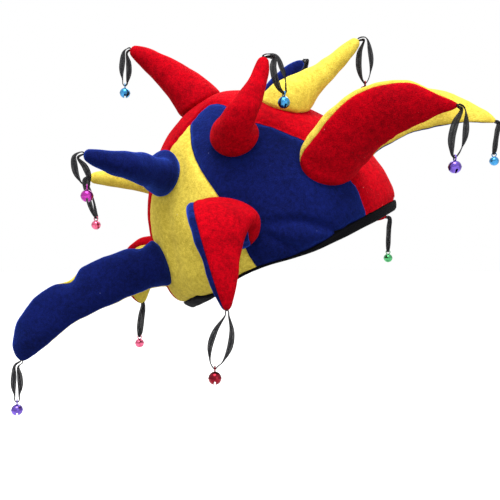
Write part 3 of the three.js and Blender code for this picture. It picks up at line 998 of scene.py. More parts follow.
@dataclass
class Crown:
    """The crown's five panels of plush, sewn edge to edge."""

    velours: PlushSet
    seats: list["HornSeat"]
    shape: CrownShape = CROWN
    cut: PanelCut = CUT
    wall: float = 2.3
    least_wall: float = 0.4
    grid: tuple[int, int] = (104, 104)
    strip_grid: tuple[int, int] = (180, 104)
    seam_depth: float = 1.35
    seam_width: float = 2.6
    seam_draw: float = 0.5
    draw_width: float = 11.0
    pucker: float = 0.16
    pucker_length: float = 6.0
    pucker_width: float = 4.5
    pucker_seed: int = 9
    lumps: tuple[tuple[float, float], ...] = ((0.4, 48.0), (0.13, 17.0))
    lump_seed: int = 5
    folds: tuple[Fold, ...] = (
        Fold(0.13, -0.872, -11, 0.24, 0.022, 2.8),
        Fold(0.1, -0.925, -8, 0.2, 0.03, -1.6),
        Fold(-0.06, -0.9, -36, 0.1, 0.022, 2.4),
        Fold(0.42, -0.865, 25, 0.09, 0.025, 1.6),
        Fold(0.45, -0.8, 40, 0.12, 0.06, -1.6),
        Fold(-0.53, -0.42, 18, 0.16, 0.055, 2.0),
        Fold(-0.02, 0.86, 15, 0.24, 0.06, 2.0),
    )
    panels: tuple[Panel, ...] = (
        Panel("crown_strip_red", Hue.RED, 0, True, (0.167, 0.396), 0.0381),
        Panel("crown_right_front_blue", Hue.BLUE, -1, True, (0.191, 0.153), 0.0109),
        Panel("crown_right_back_yellow", Hue.YELLOW, -1, False, (0.163, 0.139), 0.0102),
        Panel("crown_left_front_yellow", Hue.YELLOW, 1, True, (0.191, 0.153), 0.0109),
        Panel("crown_left_back_blue", Hue.BLUE, 1, False, (0.163, 0.139), 0.0102),
    )

    def places(self, panel: Panel) -> tuple[np.ndarray, np.ndarray]:
        """The panel's grid on the disc.

        Args:
            panel: the panel.

        Returns:
            p and q of its points.
        """
        columns, rows = self.strip_grid if panel.side == 0 else self.grid
        along, down = np.meshgrid(np.linspace(0, 1, columns), np.linspace(0, 1, rows), indexing="ij")
        if panel.side == 0:
            return self.cut.strip(along, 2 * down - 1)
        return self.cut.side(panel.side, panel.front, along, down)

    def lifts(self, points: np.ndarray, p: np.ndarray, q: np.ndarray) -> tuple[np.ndarray, np.ndarray]:
        """How far the plush is lifted off the smooth crown, and how far its back is.

        Folds and lumps move the whole cloth. The face also dips along its seams by bell curves of the
        distance, is puckered there by short ripples, and dips round each horn's seat.

        Args:
            points: the panel's smooth places.
            p: their places on the disc.
            q: their places on the disc.

        Returns:
            The face's lift and the back's lift.
        """
        slack = sum(fold.lift(p, q) for fold in self.folds)
        for k, (size, length) in enumerate(self.lumps):
            slack = slack + size * ripples(points, length, self.lump_seed + k)
        edge = np.minimum.reduce(edge_runs(points))
        seam = self.seam_depth * bump(edge, self.seam_width)
        seam = seam + self.seam_draw * np.exp(-edge / self.draw_width)
        puckers = self.pucker * ripples(points, self.pucker_length, self.pucker_seed)
        puckers = puckers * bump(edge, self.pucker_width)
        sewn = sum(seat.dip(points) for seat in self.seats)
        inside = np.minimum.reduce([seat.keep(points) for seat in self.seats])
        slack = slack * inside
        return slack - seam + puckers - sewn, slack - self.wall

    def build(self) -> None:
        """Makes the panels as closed walls of cloth, each a sheet stretched to the worn form."""
        for panel in self.panels:
            p, q = self.places(panel)
            smooth, normal = self.shape.place(p, q), self.shape.normal(p, q)
            face, back = self.lifts(smooth, p, q)
            outer = smooth + normal * face[..., None]
            inner = smooth + normal * np.minimum(back, face - self.least_wall)[..., None]
            skin = wall_skin(outer, inner)
            piece = make_piece(panel.name + "_plush", skin, self.velours[panel.hue])
            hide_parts(panel.name)


@dataclass
class Binding:
    """The black tape folded over the rim: one profile carried round it."""

    tape: bpy.types.Material
    shape: CrownShape = CROWN
    cut: PanelCut = CUT
    name: str = "rim_binding"
    steps: int = 420
    flange: float = 9.5
    gap: float = 0.5
    wave: float = 0.25
    wave_length: float = 26.0
    wave_seed: int = 21

    def build(self) -> None:
        """Makes the tape: a rounded fold under the rim, a thin flange inside and a band outside."""
        around = np.linspace(-180, 180, self.steps, endpoint=False)
        rim = self.cut.rim_level(around) * self.shape.meridian
        lip = self.cut.hem_level(around) * self.shape.meridian + self.gap
        middle = (rim + lip) / 2
        flange = rim - self.flange
        # The tape's profile: way down the crown and lift off it, both in millimetres
        course = [
            (lip, -0.5),
            (mix(lip, middle, 0.4), 0.0),
            (middle, 0.15),
            (mix(middle, rim, 0.7), 0.0),
            (rim + 0.15, -0.7),
            (rim + 0.35, -2.2),
            (rim + 0.15, -3.7),
            (mix(rim, flange, 0.08), -4.4),
            (mix(rim, flange, 0.5), -4.5),
            (mix(rim, flange, 0.95), -4.4),
            (flange, -4.0),
            (mix(rim, flange, 0.95), -3.5),
            (mix(lip, flange, 0.5), -3.3),
            (lip, -3.1),
            (lip, -1.8),
        ]
        angle = np.radians(around)
        rings = []
        for level, lift in course:
            down = level / self.shape.meridian
            p, q = down * np.cos(angle), down * np.sin(angle)
            smooth = self.shape.place(p, q)
            uneven = lift + self.wave * ripples(smooth, self.wave_length, self.wave_seed)
            rings.append(smooth + self.shape.normal(p, q) * uneven[:, None])
        skin = ring_skin(np.stack(rings, axis=1))
        piece = make_piece(self.name + "_tape", skin, self.tape)
        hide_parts(self.name)


# The horns


@dataclass(frozen=True)
class HornSeat:
    """Where a horn is sewn to the crown: its middle, the two ways across it, and its half-sizes."""

    centre: np.ndarray
    across: np.ndarray
    out: np.ndarray
    half: float
    thick: float
    depth: float = 0.7
    width: float = 3.0
    calm: float = 6.0

    def reach(self, points: np.ndarray) -> np.ndarray:
        """Distance past the seat's oval edge: the stretched radius, less the half-width.

        Args:
            points: places in millimetres.

        Returns:
            Distances, below 0 under the seat.
        """
        away = points - self.centre
        oval = np.hypot(away @ self.across, (away @ self.out) * self.half / self.thick)
        depth = np.abs(away @ np.cross(self.across, self.out))
        return oval - self.half + np.maximum(depth - self.half, 0)

    def dip(self, points: np.ndarray) -> np.ndarray:
        """A trough of cloth along the seat's edge."""
        return self.depth * bump(self.reach(points), self.width)

    def keep(self, points: np.ndarray) -> np.ndarray:
        """0 under the seat and 1 well away from it, so that the cloth lies calm where the horn is sewn."""
        return smoothstep(self.reach(points), 0.0, self.calm)


@dataclass(frozen=True)
class Crease:
    """A fold pressed into a horn: share of its length, degrees round, runs in millimetres, and depth."""

    share: float
    angle: float
    before: float
    after: float
    around: float
    depth: float


@dataclass(frozen=True)
class Horn:
    """A stuffed horn along a cubic curve from its seat to its tip, tapering by two powers."""

    name: str
    hues: tuple[Hue, ...]
    seat: tuple[float, float]
    leave: Vector3
    arrive: Vector3
    tip: Vector3
    half: float
    bulge: float
    shoulder: float
    point: float
    blunt: float = 0.0
    flat: float = 1.0
    roll: float = 0.0
    square: float = 2.0
    faces: tuple[Vector3, Vector3] = ((0, -1, 0), (0, -1, 0))
    creases: tuple[Crease, ...] = ()
    shape: CrownShape = CROWN
    fill: float = 0.85
    round_seat: float = 0.75
    flat_from: float = 0.4
    bulge_span: float = 0.16
    face_gap: float = 0.3
    sunk: float = 1.9
    heart: float = 10.0
    tuck: float = 0.13
    tuck_span: float = 3.4
    rows: int = 128
    sides: int = 88
    web: int = 6
    length_steps: int = 64
    foot_reach: float = 0.5
    foot_lines: int = 120
    halvings: int = 30
    sink_reach: float = 0.1
    sink_steps: int = 12
    lumps: tuple[tuple[float, float], ...] = ((0.5, 38.0), (0.2, 15.0))
    calm_half: float = 7.0
    calm_run: float = 9.0
    wrinkle: float = 0.4
    wrinkle_length: float = 21.0
    wrinkle_gain: float = 2.2
    wrinkle_sway: float = 1.2
    sway_length: float = 25.0
    sway_seed: int = 7
    seam_depth: float = 0.8
    seam_share: float = 0.25
    seam_width: float = 1.7
    pucker: float = 0.09
    pucker_width: float = 4.5
    pucker_length: float = 7.0
    pucker_seed: int = 31

    @property
    def two_faced(self) -> bool:
        """Whether the horn is sewn of two colours."""
        return len(self.hues) == 2

    def handles(self) -> np.ndarray:
        """The four points that steer the centreline."""
        seat, tip = self.shape.at(*self.seat), np.array(self.tip, float)
        return np.stack([seat, seat + self.leave, tip + self.arrive, tip])

    def centreline(self, t: np.ndarray) -> tuple[np.ndarray, np.ndarray, np.ndarray]:
        """The cubic curve, its heading and its curvature, run on straight before its start.

        Args:
            t: shares of the length, which may be below 0.

        Returns:
            Places, headings and curvature vectors.
        """
        a, b, c, d = self.handles()
        s = np.clip(t, 0, 1)[..., None]
        u = 1 - s
        place = a * u**3 + 3 * b * u * u * s + 3 * c * u * s * s + d * s**3
        speed = 3 * ((b - a) * u * u + 2 * (c - b) * u * s + (d - c) * s * s)
        turn = 6 * ((c - 2 * b + a) * u + (d - 2 * c + b) * s)
        size = np.linalg.norm(speed, axis=-1, keepdims=True)
        heading = speed / size
        bend = (turn - heading * (turn * heading).sum(-1, keepdims=True)) / size**2
        return place + speed * np.minimum(t, 0)[..., None], heading, bend

    def length(self) -> float:
        """Length of the centreline."""
        return line_length(self.centreline(np.linspace(0, 1, self.length_steps))[0])

    def half_width(self, t: np.ndarray) -> np.ndarray:
        """The taper: one power inside another, a bell curve at the seat, and a ball that rounds the tip.

        Args:
            t: shares of the length.

        Returns:
            Half-widths in millimetres.
        """
        s = np.clip(t, 0, 1)
        swelling = self.bulge * bump(s, self.bulge_span) * (1 - s)
        inside = np.maximum(self.blunt - (1 - s) * self.length(), 0)
        ball = s**3 * np.sqrt(self.blunt**2 - inside**2)
        return self.half * (1 - s**self.shoulder) ** self.point + swelling + ball

    def flatness(self, t: np.ndarray) -> np.ndarray:
        """Thickness over width, which goes from the seat's to the flat part's.

        Args:
            t: shares of the length.

        Returns:
            One ratio a share, 1 all along a round horn.
        """
        if not self.two_faced:
            return np.ones_like(t)
        return mix(self.round_seat, self.flat, smoothstep(t, 0, self.flat_from))

    def axes(self, t: np.ndarray) -> tuple[np.ndarray, np.ndarray]:
        """The ways across and out of the section: the look from seat to tip, made square to the heading.

        Args:
            t: shares of the length.

        Returns:
            Unit vectors across and out.
        """
        heading = self.centreline(t)[1]
        seat_face, tip_face = (np.array(f, float) for f in self.faces)
        look = mix(seat_face, tip_face, smoothstep(t, 0, 1)[..., None])
        out = unit(look - heading * (look * heading).sum(-1, keepdims=True))
        return np.cross(heading, out), out

    def skin_at(self, t: np.ndarray, angle: np.ndarray) -> tuple[np.ndarray, np.ndarray]:
        """The smooth surface and its normal: an oval section carried along the centreline.

        Args:
            t: shares of the length.
            angle: turns round the section.

        Returns:
            Places and normals.
        """
        across, out = self.axes(t)
        half, flat = self.half_width(t)[..., None], self.flatness(t)[..., None]
        cos, sin = np.cos(angle)[..., None], np.sin(angle)[..., None]
        rounding = 2 / self.square
        x, y = signed_power(cos, rounding), signed_power(sin, rounding)
        place = self.centreline(t)[0] + half * (across * x + out * flat * y)
        lean_x, lean_y = signed_power(x, self.square - 1), signed_power(y, self.square - 1)
        return place, unit(across * flat * lean_x + out * lean_y)

    def foot(self, angle: np.ndarray) -> np.ndarray:
        """Where each line of the skin meets the crown: a span from inside to outside, halved over and over.

        A line that passes the crown by starts between its neighbours' starts.

        Args:
            angle: turns round the section, one a line.

        Returns:
            Shares of the length, sunk a little into the crown.
        """
        ring = full_turn(self.foot_lines)
        low, high = np.full_like(ring, -self.foot_reach), np.full_like(ring, self.foot_reach)
        for _ in range(self.halvings):
            middle = (low + high) / 2
            beyond = self.shape.outside(self.skin_at(middle, ring)[0]) > 0
            low, high = np.where(beyond, low, middle), np.where(beyond, middle, high)
        meets = low > -self.foot_reach
        return np.interp(angle, ring[meets], high[meets], period=TURN) - self.sunk / self.length()

    def sink(self, ring: np.ndarray, down: np.ndarray) -> np.ndarray:
        """How far the lowest ring goes down into the crown's cloth.

        Each step goes on by the height above the crown's form over that height's slope.

        Args:
            ring: the lowest ring of the skin.
            down: the way into the crown at the seat.

        Returns:
            Distances along that way, below 0 where the ring comes up.
        """
        depth = np.zeros(len(ring))
        for _ in range(self.sink_steps):
            here = self.shape.outside(ring + down * depth[:, None])
            below = self.shape.outside(ring + down * (depth + self.sink_reach)[:, None])
            depth = depth + self.sink_reach * here / (here - below)
        return depth + self.sunk

    def sewn_seat(self) -> HornSeat:
        """The seat as the crown's cloth meets it.

        Returns:
            The seat, of the horn's sizes at its start.
        """
        start = np.array(0.0)
        across, out = self.axes(start)
        half = float(self.half_width(start))
        thick = half * float(self.flatness(start))
        return HornSeat(self.shape.at(*self.seat), across, out, half, thick)

    def unevenness(
        self, place: np.ndarray, normal: np.ndarray, t: np.ndarray, angle: np.ndarray
    ) -> np.ndarray:
        """Lift of the stuffed cloth: lumps, wrinkles where the horn is bent inwards, and pressed creases.

        Args:
            place: the smooth skin.
            normal: its normals.
            t: shares of the length.
            angle: turns round the section.

        Returns:
            Lifts in millimetres.
        """
        seed = sum(map(ord, self.name))
        long = self.length()
        lift = sum(size * ripples(place, wave, seed + k) for k, (size, wave) in enumerate(self.lumps))
        half = self.half_width(t)
        inward = np.clip((self.centreline(t)[2] * normal).sum(-1) * half, 0, 1)
        sway = self.wrinkle_sway * ripples(place, self.sway_length, seed + self.sway_seed)
        ridge = np.sin(t * long / self.wrinkle_length * TURN + sway)
        lift = lift + self.wrinkle * np.minimum(self.wrinkle_gain * inward, 1) * (1 - inward) * ridge
        for crease in self.creases:
            run = (t - crease.share) * long
            side = np.where(run < 0, bump(run, crease.before), bump(run, crease.after))
            apart = (angle - math.radians(crease.angle) + math.pi) % TURN - math.pi
            lift = lift - crease.depth * side * bump(apart * half, crease.around)
        return lift * np.clip(half / self.calm_half, 0, 1)

    def loft(self, angle: np.ndarray, seams: tuple[float, ...]) -> tuple[np.ndarray, np.ndarray]:
        """Rings of the stuffed skin from crown to tip, tucked in at the crown and dipped along its seams.

        Args:
            angle: turns round the section, one a column.
            seams: turns at which the skin is sewn.

        Returns:
            Rings of places, and the shares of the length that they lie at.
        """
        rows = (1 - np.cos(np.linspace(0, math.pi, self.rows + 1)[:-1])) / 2
        foot = self.foot(angle)
        t = foot + (1 - foot) * rows[:, None]
        turns = np.broadcast_to(angle, t.shape)
        place, normal = self.skin_at(t, turns)
        run = (t - foot) * self.length()
        centre = self.centreline(t)[0]
        place = centre + (place - centre) * (1 - self.tuck * bump(run, self.tuck_span))[..., None]
        down = self.shape.at(*self.seat, lift=-1.0) - self.shape.at(*self.seat)
        depth = self.sink(place[0], down)
        place = place + down * (depth * bump(run, self.tuck_span + np.abs(depth)))[..., None]
        lift = self.unevenness(place, normal, t, turns) * smoothstep(run, 0, self.calm_run)
        for seam in seams:
            line = self.skin_at(t, np.full_like(t, seam))[0]
            off = np.linalg.norm(place - line, axis=-1)
            thick = self.half_width(t) * self.flatness(t)
            deep = np.minimum(self.seam_depth, thick * self.seam_share)
            lift = lift - deep * bump(off, self.seam_width)
            puckers = self.pucker * ripples(line, self.pucker_length, self.pucker_seed)
            lift = lift + puckers * bump(off, self.pucker_width)
        return place + normal * lift[..., None], t

    def build(self, velours: PlushSet) -> None:
        """Makes the horn: one closed skin, or two faces that meet along the seams.

        Args:
            velours: the plush of each colour.
        """
        tip = np.array(self.tip, float)
        heart = self.centreline(np.array(self.heart / self.length()))[0]
        if not self.two_faced:
            angle = full_turn(self.sides)
            rings, _ = self.loft(angle, (-math.pi / 2,))
            self.add("horn_" + self.name, loft_skin(rings, heart, tip), self.hues[0], velours)
            return
        start = math.radians(self.roll)
        for side, hue, word in zip((1, -1), self.hues, ("outer", "inner")):
            arc = start + side * np.linspace(0, math.pi, self.sides // 2 + 1)
            rings, t = self.loft(arc, (start, start + math.pi))
            last, first = rings[:, -1:], rings[:, :1]
            share = np.linspace(0, 1, self.web + 2)[None, 1:-1, None]
            climb = (t[:, :1] - t[:1, :1])[..., None] * self.length()
            bow = (heart - (last[0] + first[0]) / 2) * 4 * share * (1 - share) * bump(climb, self.heart)
            line = mix(last, first, share) + bow
            across, out = self.axes(t[:, 0])
            lean = (self.flatness(t[:, 0]) * math.tan(start))[:, None]
            apart = unit(out - across * lean)[:, None] * side * self.face_gap / 2
            rings = np.concatenate([rings, line], axis=1) + apart
            self.add(f"horn_{self.name}_{word}", loft_skin(rings, heart, tip), hue, velours)

    def add(self, node: str, skin: Skin, hue: Hue, velours: PlushSet) -> None:
        """Adds one stuffed skin in the place of its solid.

        Args:
            node: the solid's name.
            skin: the stuffed skin.
            hue: its colour.
            velours: the plush of each colour.
        """
        piece = make_piece(node + "_plush", skin, velours[hue])
        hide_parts(node)


RED, BLUE, YELLOW = Hue.RED, Hue.BLUE, Hue.YELLOW
# Name, colours, seat as degrees round and share down, ways it leaves and arrives by, tip, then its form
ROUND_HORNS = (
    Horn(
        "top_back", (RED,), (180, 0.06), (-16, 1, 18), (22, -1, -12), (-139.5, 5, 178.8),
        half=19, bulge=1, shoulder=1.05, point=0.6, blunt=2.2,
        creases=(Crease(0.42, 90, 5.0, 5.0, 12.0, 1.3),),
    ),
    Horn(
        "top_right", (RED,), (-90, 0.506), (-3, -34, 10), (-5, -8, -36), (-27.5, -80, 147),
        half=15.5, bulge=3.5, shoulder=0.7, point=0.45, blunt=1.8,
    ),
    Horn(
        "top_left", (BLUE,), (78, 0.45), (0, 26, 16), (-34, 2, -24), (12.5, 60, 183.8),
        half=15.5, bulge=2.5, shoulder=0.8, point=0.4, blunt=0.5,
    ),
    Horn(
        "top_front", (YELLOW,), (-38, 0.42), (15, -4, 12), (-19, -1, -19), (49.5, -30, 175.7),
        half=17, bulge=2.5, shoulder=0.9, point=0.78, blunt=3.2,
    ),
    Horn(
        "back_right", (BLUE,), (-138.5, 0.508), (-15.5, -28.5, 4), (26, 8, -8), (-154, -98, 74.5),
        half=14.6, bulge=3.8, shoulder=1.2, point=0.61, blunt=2.6,
        creases=(Crease(0.13, 356, 4.0, 12.0, 12.0, 6.0), Crease(0.03, 352, 6.0, 4.0, 11.0, -2.5)),
    ),
    Horn(
        "back_left", (YELLOW,), (137.5, 0.5), (-30, 12, 3), (30, -6, -1), (-190, 70, 75.5),
        half=12.5, bulge=4.5, shoulder=1.2, point=0.55, blunt=3.6,
    ),
)
FLAT_HORNS = (
    Horn(
        "front_right", (RED, YELLOW), (-57.4, 0.726), (24, -23.5, 31.5), (-57, 12, 6), (103, -115, 104.5),
        half=23.6, bulge=0, shoulder=2.95, point=0.705, blunt=0.8, flat=0.55, roll=-19,
        faces=((0.1, -0.85, -0.4), (0, -0.97, -0.2)),
    ),
    Horn(
        "front_left", (BLUE, YELLOW), (48, 0.7), (36, 26, 62), (-60, 12, 29), (197.3, 70, 130),
        half=30, bulge=0, shoulder=2.3, point=0.8, blunt=1.5, flat=0.42,
        faces=((0, 0.95, -0.2), (0, 0.97, -0.2)),
    ),
    Horn(
        "low_back_right", (BLUE, YELLOW), (-160, 0.798), (-34, -12, -4), (5, 2, 38.5), (-214, -50, -79),
        half=19, bulge=0, shoulder=4.1, point=0.525, flat=0.4, faces=((0, -1, 0.12), (0, -1, 0.12)),
        creases=(
            Crease(0.49, 6, 6.5, 7.0, 16.0, 7.5),
            Crease(0.7, 4, 15.0, 20.0, 14.0, -3.0),
            Crease(0.11, 20, 4.0, 8.0, 14.0, 3.2),
            Crease(0.02, 8, 8.0, 4.0, 9.0, -5.0),
            Crease(0.09, 110, 3.0, 5.0, 16.0, 1.6),
        ),
    ),
    Horn(
        "low_back_left", (RED, YELLOW), (163, 0.8), (-30, 24, 32), (-8, -8, 30), (-144.6, 100, -46.3),
        half=17.5, bulge=0, shoulder=4, point=0.5, flat=0.4, roll=32,
        faces=((-0.2, 0.8, 0.55), (-0.5, 0.8, 0.2)),
    ),
    Horn(
        "ear_right", (RED, BLUE), (-108.7, 0.775), (-10, -33, 18), (-6, -2, 50), (-52.6, -125, -33.5),
        half=25.2, bulge=0, shoulder=2, point=0.83, blunt=2.2, flat=0.35, roll=38, square=2.3,
        faces=((0, -0.43, 0.95), (0.5, -0.95, 0.1)), round_seat=0.67, flat_from=0.25,
    ),
    Horn(
        "ear_left", (BLUE, RED), (86, 0.79), (16, 34, 5), (-44, -2, 7), (102, 115, 41),
        half=21, bulge=0, shoulder=2.5, point=0.75, blunt=1.5, flat=0.4,
        faces=((0, 0.5, 0.85), (0, 0.95, 0.3)),
    ),
)


# The ribbon loops and bells


@dataclass(frozen=True)
class Bell:
    """A jingle bell: a thin ball of two crimped halves, with a sound slot below and a wire ring on top."""

    metal: Metal
    centre: Vector3
    heading: float
    radius: float = 4.5
    wall: float = 0.45
    crimp: float = 0.22
    crimp_width: float = 0.09
    slot_half: float = 0.1
    slot_reach: float = 0.6
    slot_hole: float = 0.17
    columns: int = 56
    rows: int = 13
    ring: float = 2.0
    wire: float = 0.5
    ring_steps: int = 28
    wire_steps: int = 10

    def ball(self) -> Skin:
        """The hollow ball: a disc map of the lower half from the slot's edge, and an upper half to its top.

        The lower half's disc is the bottom at its middle and the crimped edge at 1. Each line runs straight
        from the slot's outline to that edge. The outline is the further of a narrow slit and a round hole at
        either end.

        Returns:
            The closed surface, about the ball's centre.
        """
        turn = full_turn(self.columns)
        slit = np.minimum(self.slot_half / np.maximum(np.abs(np.cos(turn)), 1e-6), self.slot_reach)
        chord = self.slot_hole**2 - (self.slot_reach * np.cos(turn)) ** 2
        far = self.slot_reach * np.abs(np.sin(turn)) + np.sqrt(np.maximum(chord, 0))
        hole = np.where(chord > 0, far, 0)
        outline = np.maximum(slit, hole)
        rows = np.linspace(0, 1, self.rows)[:, None]
        lower = mix(outline[None], 1.0, rows) * math.pi / 2
        upper = math.pi / 2 * (1 + rows[1:-1] + 0 * turn[None])
        polar = np.vstack([lower, upper])
        ridge = self.crimp * bump(polar - math.pi / 2, self.crimp_width)
        level = np.sin(polar)
        heading = np.stack([level * np.cos(turn), level * np.sin(turn), -np.cos(polar)], axis=-1)
        outer = heading * (self.radius - self.crimp / 2 + ridge)[..., None]
        inner = heading * (self.radius - self.wall - self.crimp / 2)
        top = UP * (self.radius - self.crimp / 2)
        return loft_skin(np.concatenate([outer[::-1], inner]), top, top - UP * self.wall)

    def loop(self) -> Skin:
        """The wire ring, a torus that stands on the ball's top.

        Returns:
            The closed surface, about the ball's centre.
        """
        long, short = full_turn(self.ring_steps)[:, None], full_turn(self.wire_steps)
        reach = self.ring + self.wire * np.cos(short)
        height = self.radius + self.ring - self.wire
        x = self.wire * np.sin(short) + 0 * long
        return ring_skin(np.stack([x, reach * np.cos(long), reach * np.sin(long) + height], axis=-1))

    def build(self, name: str, metals: MetalSet) -> bpy.types.Object:
        """Makes the bell in the place of its solid.

        Args:
            name: the name of the horn that it hangs from.
            metals: the bells' finishes.

        Returns:
            The bell.
        """
        skin = self.ball().plus(self.loop())
        x, y, z = skin.points.T
        x, y = spun(x, y, math.radians(self.heading))
        skin.points = np.stack([x, y, z], axis=-1) + np.array(self.centre)
        piece = make_piece(f"bell_{name}_metal", skin, metals[self.metal])
        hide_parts(f"bell_{name}")
        return piece


@dataclass(frozen=True)
class RibbonLoop:
    """A loop of sheer ribbon from a horn's tip, through its bell's ring and back."""

    over: Vector3
    bell: Vector3
    spread: float
    plane: float
    twist: float
    metal: Metal
    width: float = 5.0
    tip_width: float = 2.6
    ring_width: float = 1.7
    thick: float = 0.16
    start: float = 0.2
    sewn: float = 1.5
    apart: float = 1.8
    bend_apart: float = 1.3
    hang: tuple[tuple[float, float], ...] = ((0.3, 0.42), (0.6, 0.5), (0.85, 0.34))
    ring_pass: tuple[float, float] = (1.7, 1.6)
    span_steps: int = 24
    steps: int = 140
    across: int = 11
    swell_power: float = 0.7
    pleat: float = 0.32
    pleat_waves: float = 1.15
    pleat_sway: float = 1.5
    sway_waves: float = 1.5

    def strands_apart(self, heading: np.ndarray, aside: np.ndarray) -> np.ndarray:
        """Half the way from one strand to the other: a quarter turn of the heading in the loop's plane."""
        return unit(UP * (heading @ aside) - aside * heading[2]) * self.apart / 2

    def route(self, horn: Horn, bell: Bell) -> np.ndarray:
        """The loop's line: down one side from the tip, through the ring, and up the other.

        Args:
            horn: the horn that carries it.
            bell: the bell that hangs on it.

        Returns:
            Points evenly spaced along the loop, in millimetres.
        """
        tip = np.array(horn.tip, float)
        away = horn.centreline(np.array(1.0))[1]
        angle = math.radians(self.plane)
        aside = np.array([math.cos(angle), math.sin(angle), 0.0])
        ring = np.array(self.bell, float) + UP * (bell.radius + bell.ring - bell.wire)
        over = np.array(self.over, float)
        bent = tip + over
        bend = unit(unit(over) + unit(ring - bent))
        top_apart = self.strands_apart(unit(over), aside)
        bent_apart = self.strands_apart(bend, aside) * self.bend_apart
        top = tip + away * (self.start + abs(top_apart @ away))
        strands = []
        for side in (1, -1):
            way = aside * side
            hanging = [mix(bent, ring, share) + way * out * self.spread for share, out in self.hang]
            entry = ring + way * self.ring_pass[0] + UP * self.ring_pass[1]
            strands.append([top + top_apart * side, bent + bent_apart * side, *hanging, entry])
        sewn = tip - away * self.sewn
        points = np.array([sewn, *strands[0], ring, *strands[1][::-1], sewn])
        return evenly(through(points, self.span_steps), self.steps)

    def band(self, line: np.ndarray) -> Skin:
        """A thin pleated band along the loop: its width swells between tip and ring, and its face turns.

        Args:
            line: points along the loop, in millimetres.

        Returns:
            The closed surface.
        """
        share = np.linspace(0, 1, len(line))
        strand = np.abs(2 * share - 1)
        heading = unit(np.gradient(line, axis=0))
        angle = math.radians(self.plane)
        flat = np.array([-math.sin(angle), math.cos(angle), 0.0])
        wide = unit(flat - heading * (heading @ flat)[:, None])
        wide = turned_about(wide, heading, math.radians(self.twist) * np.sin(math.pi * strand) ** 2)
        thin = np.cross(heading, wide)
        swell = np.maximum(np.sin(math.pi * strand), 0) ** self.swell_power
        half = mix(mix(self.ring_width, self.tip_width, strand), self.width, swell)[:, None] / 2
        w = np.linspace(-1, 1, self.across)
        sway = self.pleat_sway * np.sin(TURN * self.sway_waves * share)[:, None]
        pleats = self.pleat * np.sin(TURN * self.pleat_waves * w + sway)
        middle = line[:, None] + wide[:, None] * (half * w)[..., None] + thin[:, None] * pleats[..., None]
        face = thin[:, None] * self.thick / 2
        rings = np.concatenate([middle + face, (middle - face)[:, ::-1]], axis=1)
        return loft_skin(rings, line[0], line[-1])

    def build(self, horn: Horn, organza: bpy.types.Material, metals: MetalSet) -> None:
        """Args:
            horn: the horn that carries it.
            organza: the ribbon's finish.
            metals: the bells' finishes.
        """
        bell = Bell(self.metal, self.bell, self.plane)
        hung = bell.build(horn.name, metals)
        line = self.route(horn, bell)
        piece = make_piece(f"ribbon_{horn.name}_sheer", self.band(line), organza)
        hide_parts(f"ribbon_{horn.name}")
        self.width * MM


# Bend past the tip, centre of the bell, spread, plane and twist in degrees, and the bell's metal
LOOPS = {
    "top_back": RibbonLoop((-4.5, 0, -2), (-144.6, 5, 141.4), 6, 10, 70, Metal.BLUE),
    "top_right": RibbonLoop((8, -1, 0.5), (-12.9, -84, 113.4), 8, 20, 70, Metal.BLUE),
    "top_left": RibbonLoop((4, 6.5, 3), (6, 74, 139), 8, 60, 40, Metal.GREEN),
    "top_front": RibbonLoop((5.5, 0, 1), (55.5, -28, 135.2), 10, 0, 60, Metal.RED),
    "back_right": RibbonLoop((-5, -1, -2.5), (-151.7, -98, 44.7), 8, 15, 60, Metal.MAGENTA),
    "back_left": RibbonLoop((-5, 1, -1.5), (-184.6, 70, 30.7), 8, 70, 40, Metal.PINK),
    "front_right": RibbonLoop((3.2, -1, -2.5), (100, -118, 62.5), 9, 5, 75, Metal.VIOLET),
    "front_left": RibbonLoop((3, 0, -2), (196, 70, 91.9), 8, 60, 50, Metal.BLUE),
    "low_back_right": RibbonLoop((-4, 0, -4), (-217.7, -50, -117), 5, 20, 55, Metal.VIOLET),
    "low_back_left": RibbonLoop((0, 1, -3), (-148, 100, -86.4), 8, 75, 40, Metal.PINK),
    "ear_right": RibbonLoop((0, -1, -3), (-60.5, -126, -77.7), 13, 0, 50, Metal.RED),
    "ear_left": RibbonLoop((3.5, 0.5, -1.5), (104, 115, -1.4), 8, 70, 40, Metal.GREEN),
}


# The studio


@dataclass(frozen=True)
class SoftBox:
    """A square lamp that looks at the hat: its place in metres, side and power."""

    name: str
    place: Vector3
    side: float
    power: float


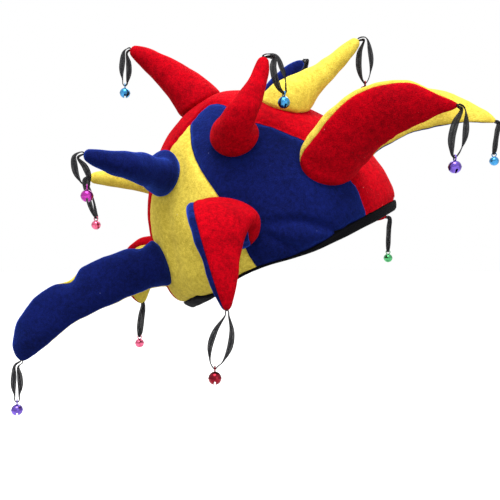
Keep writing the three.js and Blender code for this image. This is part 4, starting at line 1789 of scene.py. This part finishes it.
@dataclass
class Studio:
    """The pale floor, the soft light and the camera."""

    camera_place: Vector3 = (-0.0374, -0.560, 0.0068)
    lens: float = 47.44
    floor_level: float = -0.30
    floor_rings: Vector3 = (0.5, 2.0, 9.0)
    floor_sides: int = 64
    clip_start: float = 0.01
    sky: float = 1.5
    under: float = 0.55
    sky_ramp: tuple[float, float] = (-0.5, 1.0)
    lamps: tuple[SoftBox, ...] = (
        SoftBox("key", (-0.1, -0.6, 1.4), 0.8, 24.0),
        SoftBox("fill", (0.9, -1.2, 0.3), 1.0, 4.0),
        SoftBox("back", (0.3, 1.0, 1.3), 0.9, 12.0),
    )

    def build(self) -> None:
        """Makes the camera, the lamps, the sky and the floor."""
        camera = bpy.data.cameras.new("camera")
        camera.lens = self.lens
        camera.clip_start = self.clip_start
        seen = put("camera", camera)
        seen.location = self.camera_place
        seen.rotation_euler = (math.pi / 2, 0, 0)
        bpy.context.scene.camera = seen
        for lamp in self.lamps:
            self.hang(lamp)
        self.light_sky()
        bpy.context.scene.view_settings.view_transform = "Standard"
        self.lay_floor()

    def light_sky(self) -> None:
        """Lights a sky that looks plain white, and brightens upwards by a smooth ramp of the height."""
        bench = Bench(bpy.data.worlds.new("sky"))
        heading = bench.node("ShaderNodeTexCoord", {}, {}, "Generated")
        height = bench.node("ShaderNodeSeparateXYZ", {}, {0: heading}, "Z")
        seen = bench.node("ShaderNodeLightPath", {}, {}, "Is Camera Ray")
        glow = mix(self.under, self.sky, height.ramp(*self.sky_ramp))
        strength = seen + (1.0 - seen) * glow
        light = bench.node("ShaderNodeBackground", {}, {"Color": (1, 1, 1, 1), "Strength": strength})
        bench.node("ShaderNodeOutputWorld", {}, {"Surface": light})
        bpy.context.scene.world = bench.owner

    def hang(self, lamp: SoftBox) -> None:
        """Hangs a lamp, turned to the origin: its own -Z looks back along its place.

        Args:
            lamp: the lamp to hang.
        """
        light = bpy.data.lights.new(lamp.name, "AREA")
        light.size = lamp.side
        light.energy = lamp.power
        hung = put(lamp.name, light)
        hung.location = lamp.place
        x, y, z = lamp.place
        hung.rotation_euler = (math.atan2(math.hypot(x, y), z), 0, math.atan2(y, x) + math.pi / 2)

    def lay_floor(self) -> None:
        """Lays a round floor: rings of points about its middle."""
        rings, sides = len(self.floor_rings), self.floor_sides
        turn = full_turn(sides)
        reach = np.array(self.floor_rings)[:, None]
        level = np.full((rings, sides), self.floor_level)
        points = np.stack([reach * np.cos(turn), reach * np.sin(turn), level], axis=-1).reshape(-1, 3)
        mesh = bpy.data.meshes.new("floor")
        faces = [*grid_faces(rings, sides, wrap=True).tolist(), list(range(sides))]
        mesh.from_pydata(points.tolist(), [], faces)
        mesh.materials.append(PaleFloor().dress())
        floor = put("floor", mesh)
        floor.visible_diffuse = False


def main() -> None:
    """Builds the studio, the hanging loops and bells, the crown and the horns, in order."""
    logging.basicConfig(level=logging.INFO, format="%(message)s")
    log.info("frame of %d nodes", len(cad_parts))
    Studio().build()
    velours = {finish.hue: finish.dress() for finish in VELOURS}
    metals = {finish.metal: finish.dress() for finish in METALS}
    organza, tape = Organza().dress(), Tape().dress()
    horns = ROUND_HORNS + FLAT_HORNS
    for horn in horns:
        LOOPS[horn.name].build(horn, organza, metals)
    Crown(velours, [horn.sewn_seat() for horn in horns]).build()
    Binding(tape).build()
    for horn in horns:
        horn.build(velours)


if __name__ == "__main__":
    main()
